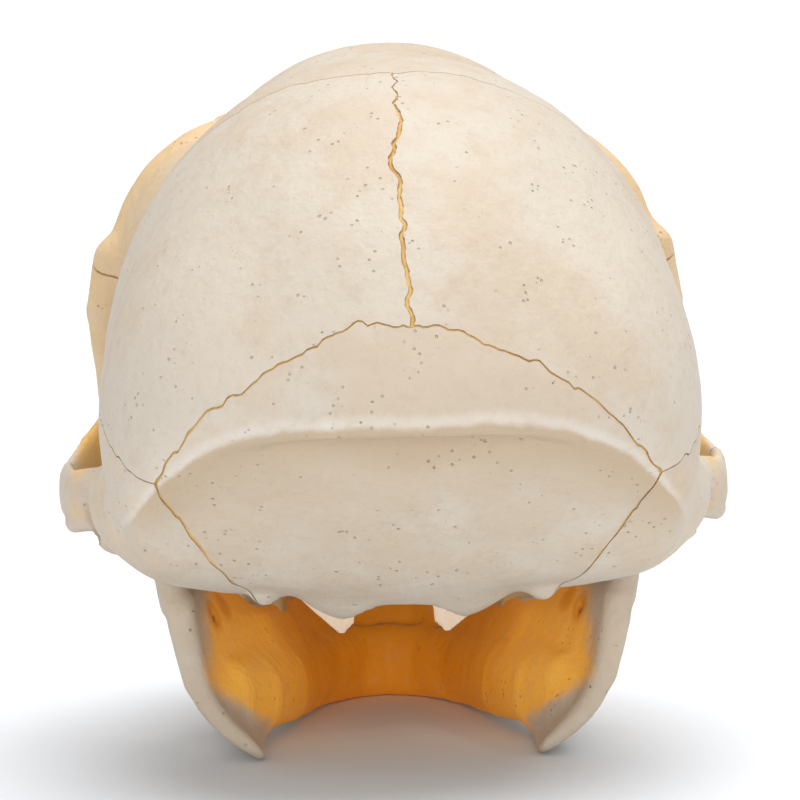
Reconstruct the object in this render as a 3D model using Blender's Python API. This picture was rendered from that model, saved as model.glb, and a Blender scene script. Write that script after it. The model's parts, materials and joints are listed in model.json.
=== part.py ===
"""A young macaque's skull with its jaw, life size, resting on the jaw.

The skull faces -Y, its left side is at +X, and the floor is Z = 0. Lengths inside the shape fields are
millimetres, and each mesh comes out of its field in metres.
"""

import math

import bmesh
import bpy
from mathutils import Euler, Vector

for old in list(bpy.data.objects):
    bpy.data.objects.remove(old)

# Driving dimensions, in millimetres
MM = 0.001
BRAINCASE_WIDTH = 55.0
BRAINCASE_LENGTH = 69.0
BRAINCASE_HEIGHT = 61.0
BRAINCASE_CENTRE = Vector((0.0, 12.0, 37.6))
ORBIT_WIDTH = 20.8
ORBIT_CENTRE = Vector((13.2, -23.5, 46.8))
ARCH_HALF_WIDTH = 32.2
ARCH_HEIGHT = 25.4
CONDYLE = (22.6, 3.6, 21.3)
RAMUS_THICKNESS = 2.0
JAW_CLEARANCE = 0.55
SUTURE_GAP = 0.36
SKULL_VOXEL = 0.62
JAW_VOXEL = 0.5
CRANIUM_TRIANGLES = 6600
JAW_TRIANGLES = 1500
UPPER_EDGE = 20.9
LOWER_EDGE = 13.3
JAW_DEPTH_CUT = 1.1
BREGMA = (0.0, 19.5, 66.6)
LAMBDA = (0.0, 44.5, 46.4)
ASTERION = (21.9, 31.8, 31.4)
UPPER_ROW = [(0, -43.4), (3.2, -42.9), (6.6, -40.8), (10.2, -37.2), (12.0, -32), (12.9, -24), (12.9, -10)]
LOWER_ROW = [(0, -41.2), (2.6, -40.8), (5.6, -38.8), (8.6, -35.4), (10.6, -31.0), (12.0, -24), (13.6, -4)]


class Field:
    """A number that varies over space: the output of one node, with the maths that combines such numbers."""

    def __init__(self, net, socket):
        self.net = net
        self.socket = socket

    def __add__(self, other):
        return self.net.maths("ADD", self, other)

    def __sub__(self, other):
        return self.net.maths("SUBTRACT", self, other)

    def __mul__(self, other):
        return self.net.maths("MULTIPLY", self, other)

    def __truediv__(self, other):
        return self.net.maths("DIVIDE", self, other)

    def joined(self, other, blend=1.0):
        """The two shapes as one, with a fillet about as wide as blend."""
        return self.net.maths("SMOOTH_MIN", self, other, blend)

    def meets(self, other, blend=0.5):
        """What the two shapes have in common."""
        return self.net.maths("SMOOTH_MAX", self, other, blend)

    def without(self, other, blend=0.5):
        """This shape with the other cut away."""
        return self.meets(other * -1.0, blend)


class Net:
    """A node tree that works out shape fields. Inside a shape its field is negative."""

    def __init__(self, name):
        self.tree = bpy.data.node_groups.new(name, "GeometryNodeTree")
        self.tree.interface.new_socket("Geometry", in_out="OUTPUT", socket_type="NodeSocketGeometry")
        position = self.tree.nodes.new("GeometryNodeInputPosition").outputs[0]
        plain = self.vector("SCALE", position, scale=1 / MM)
        parts = self.tree.nodes.new("ShaderNodeSeparateXYZ")
        self.tree.links.new(plain, parts.inputs[0])
        mirrored = self.tree.nodes.new("ShaderNodeCombineXYZ")
        self.tree.links.new(self.maths("ABSOLUTE", parts.outputs[0]).socket, mirrored.inputs[0])
        self.tree.links.new(parts.outputs[1], mirrored.inputs[1])
        self.tree.links.new(parts.outputs[2], mirrored.inputs[2])
        self.place = mirrored.outputs[0]
        self.out = self.maths("ABSOLUTE", parts.outputs[0])
        self.back = self.maths("ADD", parts.outputs[1], 0.0)
        self.up = self.maths("ADD", parts.outputs[2], 0.0)

    def _set(self, socket, value):
        value = value.socket if isinstance(value, Field) else value
        if isinstance(value, bpy.types.NodeSocket):
            self.tree.links.new(value, socket)
        else:
            socket.default_value = value

    def most(self, value, least):
        """The larger of a field and a number."""
        return self.maths("MAXIMUM", value, least)

    def maths(self, operation, *values):
        node = self.tree.nodes.new("ShaderNodeMath")
        node.operation = operation
        for socket, value in zip(node.inputs, values):
            self._set(socket, value)
        return Field(self, node.outputs[0])

    def vector(self, operation, *values, scale=None):
        node = self.tree.nodes.new("ShaderNodeVectorMath")
        node.operation = operation
        for socket, value in zip(node.inputs, values):
            self._set(socket, value)
        if scale is not None:
            self._set(node.inputs["Scale"], scale)
        length = operation in ("LENGTH", "DOT_PRODUCT")
        return Field(self, node.outputs["Value"]) if length else node.outputs["Vector"]

    def local(self, centre, turn):
        """Places measured from centre along axes that are turned by these degrees."""
        moved = self.vector("SUBTRACT", self.place, Vector(centre))
        if not any(turn):
            return moved
        node = self.tree.nodes.new("ShaderNodeVectorRotate")
        node.rotation_type = "EULER_XYZ"
        node.invert = True
        self.tree.links.new(moved, node.inputs["Vector"])
        node.inputs["Rotation"].default_value = Euler([math.radians(angle) for angle in turn])
        return node.outputs[0]

    def ball(self, centre, radii, turn=(0, 0, 0)):
        """An ellipsoid."""
        radii = Vector(radii)
        scaled = self.vector("DIVIDE", self.local(centre, turn), radii)
        far = self.vector("LENGTH", scaled)
        steep = self.vector("LENGTH", self.vector("DIVIDE", scaled, radii))
        return far * (far - 1.0) / steep

    def slab(self, centre, half_sizes, rounding, turn=(0, 0, 0)):
        """A box with rounded edges, its half sizes measured over the rounding."""
        inner = Vector(half_sizes) - Vector((rounding,) * 3)
        beyond = self.vector("SUBTRACT", self.vector("ABSOLUTE", self.local(centre, turn)), inner)
        outside = self.vector("LENGTH", self.vector("MAXIMUM", beyond, Vector((0, 0, 0))))
        parts = self.tree.nodes.new("ShaderNodeSeparateXYZ")
        self.tree.links.new(beyond, parts.inputs[0])
        widest = self.maths("MAXIMUM", parts.outputs[0], self.maths("MAXIMUM", *parts.outputs[1:]))
        return outside + self.maths("MINIMUM", widest, 0.0) - rounding

    def bar(self, start, end, start_radius, end_radius, squash=(1, 1, 1)):
        """A round bar that tapers. A squash under 1 makes it longer that way than its radius."""
        squash = Vector(squash)
        start, end = Vector(start) * squash, Vector(end) * squash
        along = end - start
        place = self.vector("MULTIPLY", self.place, squash)
        from_start = self.vector("SUBTRACT", place, start)
        share = self.vector("DOT_PRODUCT", from_start, along / along.length_squared)
        share = self.maths("MINIMUM", self.maths("MAXIMUM", share, 0.0), 1.0)
        nearest = self.vector("SCALE", along, scale=share)
        away = self.vector("LENGTH", self.vector("SUBTRACT", from_start, nearest))
        return away - (share * (end_radius - start_radius) + start_radius)

    def chain(self, points, radii, squash=(1, 1, 1), blend=0.25):
        """Bars from point to point, joined."""
        whole = None
        for at in range(len(points) - 1):
            piece = self.bar(points[at], points[at + 1], radii[at], radii[at + 1], squash)
            whole = piece if whole is None else whole.joined(piece, blend)
        return whole

    def below(self, point, normal):
        """All space behind the plane through point whose normal points out of the shape."""
        normal = Vector(normal).normalized()
        return self.vector("DOT_PRODUCT", self.vector("SUBTRACT", self.place, Vector(point)), normal)

    def ring(self, centre, radius, thickness, stretch, turn=(0, 0, 0)):
        """A torus round its own Y axis, made wider than it is high by stretch."""
        local = self.vector("MULTIPLY", self.local(centre, turn), Vector((1 / stretch, 1, 1)))
        flat = self.vector("MULTIPLY", local, Vector((1, 0, 1)))
        depth = self.vector("DOT_PRODUCT", local, Vector((0, 1, 0)))
        out = self.vector("LENGTH", flat) - radius
        return self.maths("SQRT", out * out + depth * depth) - thickness

    def mesh(self, name, shape, low, high, voxel):
        """A new object with the surface of shape, which lies in the box from low to high."""
        cube = self.tree.nodes.new("GeometryNodeVolumeCube")
        self._set(cube.inputs["Density"], shape * -1.0)
        cube.inputs["Background"].default_value = -1.0
        cube.inputs["Min"].default_value = Vector(low) * MM
        cube.inputs["Max"].default_value = Vector(high) * MM
        for axis, letter in enumerate("XYZ"):
            cube.inputs["Resolution " + letter].default_value = round((high[axis] - low[axis]) / voxel) + 1
        surface = self.tree.nodes.new("GeometryNodeVolumeToMesh")
        surface.inputs["Threshold"].default_value = 0.0
        out = self.tree.nodes.new("NodeGroupOutput")
        self.tree.links.new(cube.outputs[0], surface.inputs[0])
        self.tree.links.new(surface.outputs[0], out.inputs[0])
        maker = bpy.data.objects.new(name + "_maker", bpy.data.meshes.new(name))
        bpy.context.scene.collection.objects.link(maker)
        maker.modifiers.new("field", "NODES").node_group = self.tree
        made = evaluated_copy(maker, name)
        bpy.data.objects.remove(maker)
        return made


def evaluated_copy(source, name):
    """A new mesh object that holds source as its modifiers show it."""
    bpy.context.view_layer.update()
    graph = bpy.context.evaluated_depsgraph_get()
    mesh = bpy.data.meshes.new_from_object(source.evaluated_get(graph), depsgraph=graph)
    made = bpy.data.objects.new(name, mesh)
    made.matrix_world = source.matrix_world
    bpy.context.scene.collection.objects.link(made)
    return made


def braincase(net):
    """The vault and base of the cranium, before the face grows on it."""
    half = Vector((BRAINCASE_WIDTH, BRAINCASE_LENGTH, BRAINCASE_HEIGHT)) / 2
    shape = net.ball(BRAINCASE_CENTRE, half, (-14, 0, 0))
    shape = shape.joined(net.ball((0, -6, 44.6), (21.5, 20.5, 24.0)), 5.0)
    shape = shape.joined(net.ball((12, 23, 35), (15.6, 19.5, 20.5)), 5.0)
    # The neck muscles' flat field under the occiput, tilted to each side
    shape = shape.meets(net.below((0, 44.0, 37.0), (0.12, 0.72, -0.66)), 3.0)
    shape = shape.without(net.ball((0, 47.0, 30.6), (23.0, 9.4, 5.6), (-42, 0, 0)), 3.0)
    # The base is flat, and the temporal fossa narrows the front
    shape = shape.meets(net.below((0, 20, 18.1), (0.10, 0.10, -1)), 4.0)
    shape = shape.without(net.ball((35, -11.5, 32), (17, 17.5, 20), (0, 0, 10)), 5.0)
    base = net.slab((0, 4, 22), (9, 20, 5.5), 4.0)
    return shape.joined(base, 5.0)


def nuchal_crest(net):
    """The ridge from the back of the occiput, over the ear, to the root of the arch."""
    points = [(0, 44.2, 37.3), (8, 43.3, 37.1), (15.6, 39.4, 36.3), (19.6, 35.6, 34.4), (21.8, 32.2, 31.8)]
    points += [(25.6, 22.5, 29.0), (27.6, 12, 27.8), (29.0, 6, 26.8)]
    return net.chain(points, [1.1, 1.1, 1.1, 1.1, 1.1, 1.3, 1.5, 1.6])


def mastoid(net):
    """The swelling behind the ear, and the bony tube of the ear with its hole."""
    swelling = net.ball((20.5, 16.5, 25.6), (8.4, 10.0, 5.4), (0, -12, 20))
    swelling = swelling.joined(net.ball((15.0, 17.5, 22.6), (4.0, 5.0, 3.2)), 3.0)
    swelling = swelling.joined(net.bar((12.4, 19.0, 22.0), (13.0, 21.6, 18.9), 1.5, 0.7), 1.2)
    tube = net.bar((17, 9, 23.5), (27.2, 9.4, 24.2), 3.6, 3.1)
    bulla = net.ball((12.0, 6.0, 21.4), (4.4, 7.0, 3.4), (0, 0, -24))
    return swelling.joined(tube, 2.5).joined(bulla, 2.5)


def occipital_joint(net):
    """The two condyles at the sides of the foramen magnum."""
    return net.ball((6.9, 18.0, 19.8), (2.6, 4.8, 2.5), (10, 0, -22))


def arch(net):
    """The cheek arch: a flat bar that leaves the temporal bone as a shelf and meets the cheek bone."""
    width, height = ARCH_HALF_WIDTH - 1.2, ARCH_HEIGHT
    flat = (1, 1, 0.32)
    points = [(27.5, 9.4, height + 1.2), (width - 0.2, 4.5, height + 0.8), (width + 0.4, -2, height + 0.8)]
    points += [(width - 1.4, -10, height + 2.2), (width - 4.6, -17, height + 4.8)]
    bar = net.chain(points, [0.9, 0.85, 0.85, 0.9, 1.2], flat)
    shelf = net.bar((24, 8, height - 0.6), (width - 0.6, 3.0, height - 1.9), 2.0, 1.0, (1, 1, 1.5))
    return bar.joined(shelf, 1.5)


def orbit_block(net):
    """The walls that hold the eye, before they are hollowed, and the rim round the opening."""
    wall = net.ball((13.3, -16.5, 46.6), (12.8, 12.0, 13.0))
    rim = net.ring(ORBIT_CENTRE, ORBIT_WIDTH / 2 + 1.6, 1.9, 1.04, (-4, 0, 20))
    brow = net.chain([(0, -25.5, 57.2), (8, -26.4, 58.8), (15, -24.8, 58.6)], [2.6, 2.4, 2.0])
    return wall.joined(rim, 2.5).joined(brow, 3.0)


def orbit_hollow(net):
    """The space that is cut out for one eye, running back and inwards to its apex."""
    radius = ORBIT_WIDTH / 2
    front = net.ball(ORBIT_CENTRE + Vector((0.2, 1.0, 0)), (radius, 12.5, radius * 0.97), (0, 0, 14))
    return front.joined(net.bar((13.0, -22, 46.4), (9.0, -8.5, 45.6), 7.6, 2.0), 3.0)


def cheek(net):
    """The cheek bone under the orbit."""
    body = net.bar((18.0, -26.0, 33.0), (24.8, -19.4, 33.0), 3.8, 2.8, (1, 1, 0.8))
    pillar = net.chain([(26.4, -17.4, 47.0), (27.3, -17.6, 42.0), (26.0, -18.4, 33.5)], [2.2, 2.2, 2.3])
    return body.joined(pillar, 3.0)


def muzzle(net):
    """The upper jaw bones with the bridge of the nose."""
    body = net.ball((0, -21, 29.0), (18.5, 21.5, 12.0))
    body = body.joined(net.ball((0, -31.5, 28.0), (12.8, 14.0, 10.5)), 4.0)
    bridge = net.chain([(0, -23.6, 54.5), (0, -28.6, 47.5), (0, -35.2, 39.5)], [2.8, 2.5, 2.6])
    side = net.bar((3.6, -26.0, 46), (9.5, -31.5, 34), 1.8, 3.0)
    bridge = bridge.joined(side, 3.0)
    body = body.joined(bridge, 5.0)
    row = [(12.9, -12.5, 22), (12.9, -22, 23), (12.0, -31, 23.6), (9.6, -38, 24)]
    row += [(5, -41.8, 23.6), (0, -42.9, 23.4)]
    body = body.joined(net.chain(row, [3.2, 3.8, 3.8, 3.6, 3.0, 2.8], (1, 1, 0.85), 0.4), 2.5)
    return body.meets(net.below((0, -20, UPPER_EDGE), (0, 0, -1)), 1.2)


def muzzle_hollows(net):
    """The nose's opening, the vault of the palate, and the back of the nose above it."""
    nose = net.ball((0, -40.0, 32.8), (4.6, 8.5, 6.6), (-24, 0, 0))
    nose = nose.joined(net.ball((0, -37, 29), (5.4, 7, 3.6)), 2.0)
    palate = net.ball((0, -23, 17.9), (8.4, 18.5, 5.6), (3, 0, 0))
    choana = net.slab((0, -6, 21.7), (3.9, 8.5, 3.2), 2.5, (-8, 0, 0))
    return nose, palate, choana


def pterygoid(net):
    """The two wing-like plates behind the palate, with the fossa between them."""
    outer = net.slab((8.2, -4.2, 16.6), (0.7, 4.4, 6.2), 0.5, (0, 0, -46))
    outer = outer.meets(net.below((5.6, 0, 11.0), (0.73, 0, -0.68)), 0.6)
    inner = net.bar((4.8, -7.2, 20.0), (4.9, -7.2, 12.3), 2.0, 1.1, (1, 1.8, 1))
    root = net.slab((6.4, -6.2, 20.0), (3.4, 2.6, 3.0), 1.2)
    return outer.joined(inner, 0.8).joined(root, 1.5)


def cranium(net):
    """The cranium in one piece."""
    shape = braincase(net)
    shape = shape.joined(mastoid(net), 4.0)
    shape = shape.joined(nuchal_crest(net), 2.5)
    shape = shape.joined(orbit_block(net), 4.0)
    shape = shape.joined(muzzle(net), 4.0)
    shape = shape.joined(cheek(net), 3.0)
    shape = shape.joined(arch(net), 2.0)
    shape = shape.without(orbit_hollow(net), 0.8)
    nose, palate, choana = muzzle_hollows(net)
    shape = shape.without(nose, 0.8).without(palate, 1.5).without(choana, 1.0)
    shape = shape.joined(pterygoid(net), 1.0)
    shape = shape.without(net.ball((0, 16.6, 17.5), (6.0, 7.6, 9.0), (8, 0, 0)), 1.0)
    shape = shape.joined(occipital_joint(net), 1.5)
    shape = shape.without(net.bar((30, 9.5, 24.6), (22.5, 9.2, 23.8), 1.9, 1.5), 0.5)
    return shape.without(jaw(net) - JAW_CLEARANCE, 0.3)


def plane_height(first, second, third, out):
    """The plane through three points, as a function that gives coordinate out from the other two."""
    first, second, third = Vector(first), Vector(second), Vector(third)
    normal = (second - first).cross(third - first)
    one, two = [axis for axis in range(3) if axis != out]

    def height(a, b):
        return first[out] - (normal[one] * (a - first[one]) + normal[two] * (b - first[two])) / normal[out]

    return height


def coronal(x, z):
    """Y of the suture between the braincase and the bones in front of it."""
    upper = BREGMA[1] - 0.25 * abs(x) + 0.30 * (z - BREGMA[2]) - 0.6 * max(0.0, abs(x) - 26)
    lower = -7.5 + 0.4 * (22 - abs(x)) - 0.1 * (z - 28) - 0.8 * max(0.0, abs(x) - 24)
    return max(upper, lower)


def occipital_edge(x, z):
    """Y of the lambdoid suture, and of the suture in front of the mastoid's back below it."""
    upper = LAMBDOID(abs(x), z) - 0.045 * abs(x) * (22.0 - abs(x))
    if 0 < x < 22:
        upper -= 0.0015 * x * x * (22.0 - x)
    lower = BEHIND_EAR(abs(x), z)
    return max(upper, lower)


def squamous(x, y):
    """Z of the suture over the temporal bone, steep at its back end."""
    return 40.2 - 0.0142 * (y - 3.0) ** 2


def midline(y, z):
    """X of the suture down the middle."""
    return 0.0


def brow_edge(x, y):
    """Z of the suture under the frontal bone, round both orbits."""
    return BROW(abs(x), y)


def wing_edge(x, z):
    """Y of the front of the sphenoid, kept behind the cheek arch."""
    return -9.8 - 0.12 * (z - 17) + 7.0 * max(0.0, abs(x) - 27.0)


def cheek_edge(y, z):
    """X of the suture between the cheek bone and the upper jaw, on the left."""
    return CHEEK(y, z)


def cheek_edge_right(y, z):
    """The same on the right."""
    return -CHEEK(y, z)


def sheet(out, height, low, high, step):
    """A thin closed sheet that follows height over the other two axes, as wide as the suture's gap."""
    counts = [max(2, round((high[axis] - low[axis]) / step[axis]) + 1) for axis in (0, 1)]
    net = bmesh.new()
    layers = []
    for sign in (-1, 1):
        layer = []
        for i in range(counts[0]):
            a = low[0] + (high[0] - low[0]) * i / (counts[0] - 1)
            for j in range(counts[1]):
                b = low[1] + (high[1] - low[1]) * j / (counts[1] - 1)
                middle = height(a, b)
                steep = math.hypot(height(a + 0.4, b) - middle, height(a, b + 0.4) - middle) / 0.4
                place = [a, b]
                place.insert(out, middle + sign * SUTURE_GAP / 2 * math.hypot(1, steep))
                layer.append(net.verts.new(Vector(place) * MM))
        layers.append(layer)
    wide = counts[1]
    for layer in layers:
        for i in range(counts[0] - 1):
            for j in range(wide - 1):
                at = i * wide + j
                net.faces.new((layer[at], layer[at + wide], layer[at + wide + 1]))
                net.faces.new((layer[at], layer[at + wide + 1], layer[at + 1]))
    rim = [i * wide for i in range(counts[0])]
    rim += [(counts[0] - 1) * wide + j for j in range(1, wide)]
    rim += [i * wide + wide - 1 for i in range(counts[0] - 2, -1, -1)]
    rim += list(range(wide - 2, 0, -1))
    for at, after in zip(rim, rim[1:] + rim[:1]):
        net.faces.new((layers[0][at], layers[0][after], layers[1][after], layers[1][at]))
    bmesh.ops.recalc_face_normals(net, faces=net.faces)
    mesh = bpy.data.meshes.new("sheet")
    net.to_mesh(mesh)
    net.free()
    made = bpy.data.objects.new("sheet", mesh)
    bpy.context.scene.collection.objects.link(made)
    return made


def boolean(piece, cutter, operation):
    """A new mesh object: piece with cutter taken from it, or what the two share."""
    change = piece.modifiers.new("cut", "BOOLEAN")
    change.operation = operation
    change.object = cutter
    change.solver = "EXACT"
    made = evaluated_copy(piece, piece.name + "_cut")
    piece.modifiers.remove(change)
    return made


def loose_parts(piece):
    """The separate closed surfaces of a mesh: area, middles of faces and numbers of faces."""
    net = bmesh.new()
    net.from_mesh(piece.data)
    net.faces.ensure_lookup_table()
    left = set(range(len(net.faces)))
    parts = []
    while left:
        start = left.pop()
        group, edge = [start], [start]
        while edge:
            for line in net.faces[edge.pop()].edges:
                for other in line.link_faces:
                    if other.index in left:
                        left.discard(other.index)
                        group.append(other.index)
                        edge.append(other.index)
        area = sum(net.faces[i].calc_area() for i in group)
        places = [net.faces[i].calc_center_median() / MM for i in group]
        parts.append((area, places, set(group)))
    net.free()
    return sorted(parts, key=lambda part: part[0])


def part_of(piece, faces, name):
    """A new object with only these faces of piece."""
    net = bmesh.new()
    net.from_mesh(piece.data)
    net.faces.ensure_lookup_table()
    gone = [face for face in net.faces if face.index not in faces]
    bmesh.ops.delete(net, geom=gone, context="FACES")
    mesh = bpy.data.meshes.new(name)
    net.to_mesh(mesh)
    net.free()
    made = bpy.data.objects.new(name, mesh)
    bpy.context.scene.collection.objects.link(made)
    return made


def split(piece, out, height, low, high, step, names):
    """Cut piece along a sheet. The largest surface on each side is kept, the lower side first."""
    cutter = sheet(out, height, low, high, step)
    cut = boolean(piece, cutter, "DIFFERENCE")
    found = {}
    for _, places, faces in loose_parts(cut):
        above = 0
        for place in places:
            others = [place[axis] for axis in range(3) if axis != out]
            above += 1 if place[out] > height(*others) else -1
        found[above > 0] = faces
    made = [part_of(cut, found[side], name) for side, name in zip((False, True), names)]
    for used in (piece, cutter, cut):
        bpy.data.objects.remove(used)
    return made


def bones(skull):
    """The cranium cut along its sutures."""
    wide, deep, tall = (-40, 40), (-52, 54), (2, 76)
    made = {}
    front, rear = split(skull, 1, coronal, (wide[0], tall[0]), (wide[1], tall[1]), (5, 4), ("front", "rear"))
    rest, back = split(rear, 1, occipital_edge, (-40, 2), (40, 76), (4, 4), ("rest", "occipital"))
    made["occipital"] = back
    ears, vault = split(rest, 2, squamous, (-40, -30), (40, 54), (80, 4), ("ears", "vault"))
    grid = ((-52, 2), (54, 76), (106, 74))
    sides = split(vault, 0, midline, *grid, ("parietal_right", "parietal_left"))
    made["parietal_right"], made["parietal_left"] = sides
    sides = split(ears, 0, midline, *grid, ("temporal_right", "temporal_left"))
    made["temporal_right"], made["temporal_left"] = sides
    lower, made["frontal"] = split(front, 2, brow_edge, (-40, -52), (40, 20), (40, 72), ("lower", "frontal"))
    face, made["sphenoid"] = split(lower, 1, wing_edge, (-40, 2), (40, 76), (1, 74), ("face", "sphenoid"))
    made["nasal"], face = nasal(face)
    grid = ((-52, 2), (20, 76), (72, 74))
    face, made["zygomatic_left"] = split(face, 0, cheek_edge, *grid, ("face", "zygomatic_left"))
    made["zygomatic_right"], face = split(face, 0, cheek_edge_right, *grid, ("zygomatic_right", "face"))
    grid = ((-52, 2), (20, 76), (72, 74))
    sides = split(face, 0, midline, *grid, ("maxilla_right", "maxilla_left"))
    made["maxilla_right"], made["maxilla_left"] = sides
    return made


def wedge(half_low, half_high, low, high, grow):
    """A closed block with sloping sides that holds the nasal bones."""
    net = bmesh.new()
    bmesh.ops.create_cube(net, size=2)
    for vertex in net.verts:
        x, y, z = vertex.co
        half = (half_high if z > 0 else half_low) + grow
        vertex.co = Vector((x * half, -36 + 22 * y, high if z > 0 else low - grow)) * MM
    mesh = bpy.data.meshes.new("wedge")
    net.to_mesh(mesh)
    net.free()
    made = bpy.data.objects.new("wedge", mesh)
    bpy.context.scene.collection.objects.link(made)
    return made


def nasal(face):
    """The nasal bones, and the face without them."""
    inner = wedge(3.7, 1.8, 37.0, 70, 0.0)
    outer = wedge(3.7, 1.8, 37.0, 70, SUTURE_GAP)
    bone = boolean(face, inner, "INTERSECT")
    rest = boolean(face, outer, "DIFFERENCE")
    made = []
    for whole, name in ((bone, "nasal"), (rest, "face")):
        made.append(part_of(whole, loose_parts(whole)[-1][2], name))
    for used in (face, inner, outer, bone, rest):
        bpy.data.objects.remove(used)
    return made


def ramus(net):
    """The jaw's upright plate: a thin sheet that bends out quickly at its foot, then rises, and that turns
    in towards the teeth."""
    up, back = net.up, net.back
    turn = net.most((up - 11.0) * (up - 11.0) * (-1 / 81) + 1.0, 0.0) * 0.34
    high = net.most(up, 0.0)
    foot = net.maths("EXPONENT", net.maths("POWER", high, 1.5) * -0.101)
    middle = foot * -5.95 + up * 0.17 + 19.25 + turn * (back - 9.0)
    slope = net.maths("SQRT", high) * foot * 0.90 + 0.17
    sheet_shape = net.maths("ABSOLUTE", net.out - middle) / net.maths("SQRT", slope * slope + 1.12)
    thin_foot = net.maths("EXPONENT", high * -0.6) * 0.66
    sheet_shape = sheet_shape + thin_foot - RAMUS_THICKNESS / 2
    outline = back + up * 0.11 - 10.2
    outline = outline.meets(back * -1.0 - up * 0.06 - 7.6, 2.0)
    outline = outline.meets(up * -1.0 + (back - 7.0) * (back - 7.0) * 0.018 - 0.02, 3.5)
    outline = outline.meets(up + back * 0.25 - 18.6, 1.5)
    plate = sheet_shape.meets(outline, 1.0)
    back_edge = [(22.5, 6.6, 19.5), (21.6, 7.6, 14.0), (20.3, 8.2, 8.5)]
    plate = plate.joined(net.chain(back_edge, [1.25, 1.05, 0.75]), 2.0)
    front_edge = [(23.6, -1.6, 27.2), (23.3, -3.0, 23.5), (22.2, -5.2, 18.6), (18.2, -8.4, 11.5)]
    plate = plate.joined(net.chain(front_edge, [0.8, 1.5, 1.9, 1.6], (1.5, 1, 1), 1.5), 2.0)
    neck = net.bar((22.3, 6.0, 16.5), (22.6, 4.2, 20.4), 1.8, 1.4)
    return plate.joined(neck, 1.5).joined(net.ball(CONDYLE, (4.1, 2.1, 1.7)), 1.2)


def jaw(net):
    """The lower jaw in one piece, without its teeth."""
    tall = (1, 1, 0.5)
    border = [(14.4, 6.5, 5.4), (11.9, 0, 5.2), (10.2, -8, 4.8), (8.8, -16, 4.4), (6.8, -23, 4.0)]
    border += [(3.6, -28, 3.9), (0, -29.6, 3.9)]
    low = net.chain(border, [1.0, 1.5, 1.75, 1.9, 1.9, 1.95, 2.0], tall, 0.4)
    row = [(17.6, -2, 9.2), (14.4, -8, 9.4), (13.0, -15, 9.4), (12.2, -23, 9.4), (10.6, -30, 9.5)]
    row += [(8, -35, 9.8), (4.5, -38, 10), (0, -38.9, 10.2)]
    high = net.chain(row, [1.6, 2.5, 2.8, 2.9, 2.9, 2.9, 2.8, 2.8], tall, 0.4)
    between = [(15.6, 3.0, 6.6), (13.2, -6, 6.8), (11.6, -14, 6.8), (10.6, -22, 6.7), (8.2, -29, 6.7)]
    between += [(4.2, -33.4, 6.9), (0, -34.8, 7.0)]
    middle = net.chain(between, [1.3, 2.0, 2.3, 2.5, 2.7, 2.9, 3.1], tall, 0.4)
    body = low.joined(high, 3.0).joined(middle, 3.0)
    body = body.meets(net.below((0, 0, LOWER_EDGE), (0, 0, 1)), 0.8)
    shape = body.joined(ramus(net), 2.5)
    return shape.meets(net.below((0, 0, 0), (0, 0, -1)), 0.4)


def thinned(source, triangles):
    """The object with its mesh cut down to about this many triangles."""
    name = source.name
    faces = sum(len(face.vertices) - 2 for face in source.data.polygons)
    source.modifiers.new("triangles", "TRIANGULATE")
    source.modifiers.new("thin", "DECIMATE").ratio = min(1.0, triangles / faces)
    made = evaluated_copy(source, name + "_thin")
    bpy.data.objects.remove(source)
    made.name = name
    return made


def tooth(kind, place, size, turn, down):
    """One tooth with its root end, as a closed mesh. down is -1 for an upper tooth and 1 for a lower."""
    net = bmesh.new()
    bmesh.ops.create_icosphere(net, subdivisions=2, radius=1.0)
    width, depth, height = size
    for vertex in net.verts:
        x, y, z = vertex.co
        if kind == "molar":
            square = max(abs(x), abs(y), 0.3) ** 0.45
            x, y = x / square, y / square
            cusp = 0.16 * math.cos(2.6 * x) * -1 + 0.12 * abs(y)
            z = z if z < 0 else min(z, 0.62) + (cusp if z > 0.5 else 0)
        elif kind == "incisor":
            square = max(abs(x), abs(z), 0.3) ** 0.5
            x, z = x / square, z / square
            y = y * (1 - 0.55 * max(z, 0))
        else:
            slim = 1 - 0.62 * max(z, 0)
            x, y = x * slim, y * slim
        vertex.co = (x * width / 2, y * depth / 2, z * height)
    angle = math.radians(turn)
    for vertex in net.verts:
        x, y, z = vertex.co
        vertex.co = (
            (x * math.cos(angle) - y * math.sin(angle) + place[0]) * MM,
            (x * math.sin(angle) + y * math.cos(angle) + place[1]) * MM,
            (z * down + place[2]) * MM,
        )
    bmesh.ops.recalc_face_normals(net, faces=net.faces)
    mesh = bpy.data.meshes.new("tooth")
    net.to_mesh(mesh)
    net.free()
    return bpy.data.objects.new("tooth", mesh)


def tooth_row(upper, sign):
    """The eight teeth of one side, from the middle back: kind, place, size and turn."""
    rows = []
    # Kind, distance along the row, width along the row, depth across it, height of the crown
    kinds = [("incisor", 3.0 if upper else 2.3, 3.2, 4.0), ("incisor", 2.7 if upper else 2.4, 3.1, 3.8)]
    kinds += [("canine", 4.0 if upper else 3.5, 4.2, 5.6 if upper else 4.8)]
    kinds += [("molar", 4.1, 4.4, 3.5), ("molar", 4.2, 5.0, 3.4), ("molar", 5.3, 5.6, 3.4)]
    kinds += [("molar", 5.7, 5.8, 3.4), ("molar", 5.2, 5.3, 3.2)]
    curve = UPPER_ROW if upper else LOWER_ROW
    along = 0.34
    for number, (kind, width, depth, height) in enumerate(kinds):
        if number == 2:
            along += 0.9 if upper else 0.0
        if number == 3 and not upper:
            along += 1.2
        middle = along + width / 2
        along += width + 0.12
        (x, y), (tx, ty) = on_curve(curve, middle)
        turn = math.degrees(math.atan2(ty, tx))
        level = UPPER_EDGE if upper else LOWER_EDGE
        rows.append((kind, (x * sign, y, level), (width, depth, height), turn * sign, -1 if upper else 1))
    return rows


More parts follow.
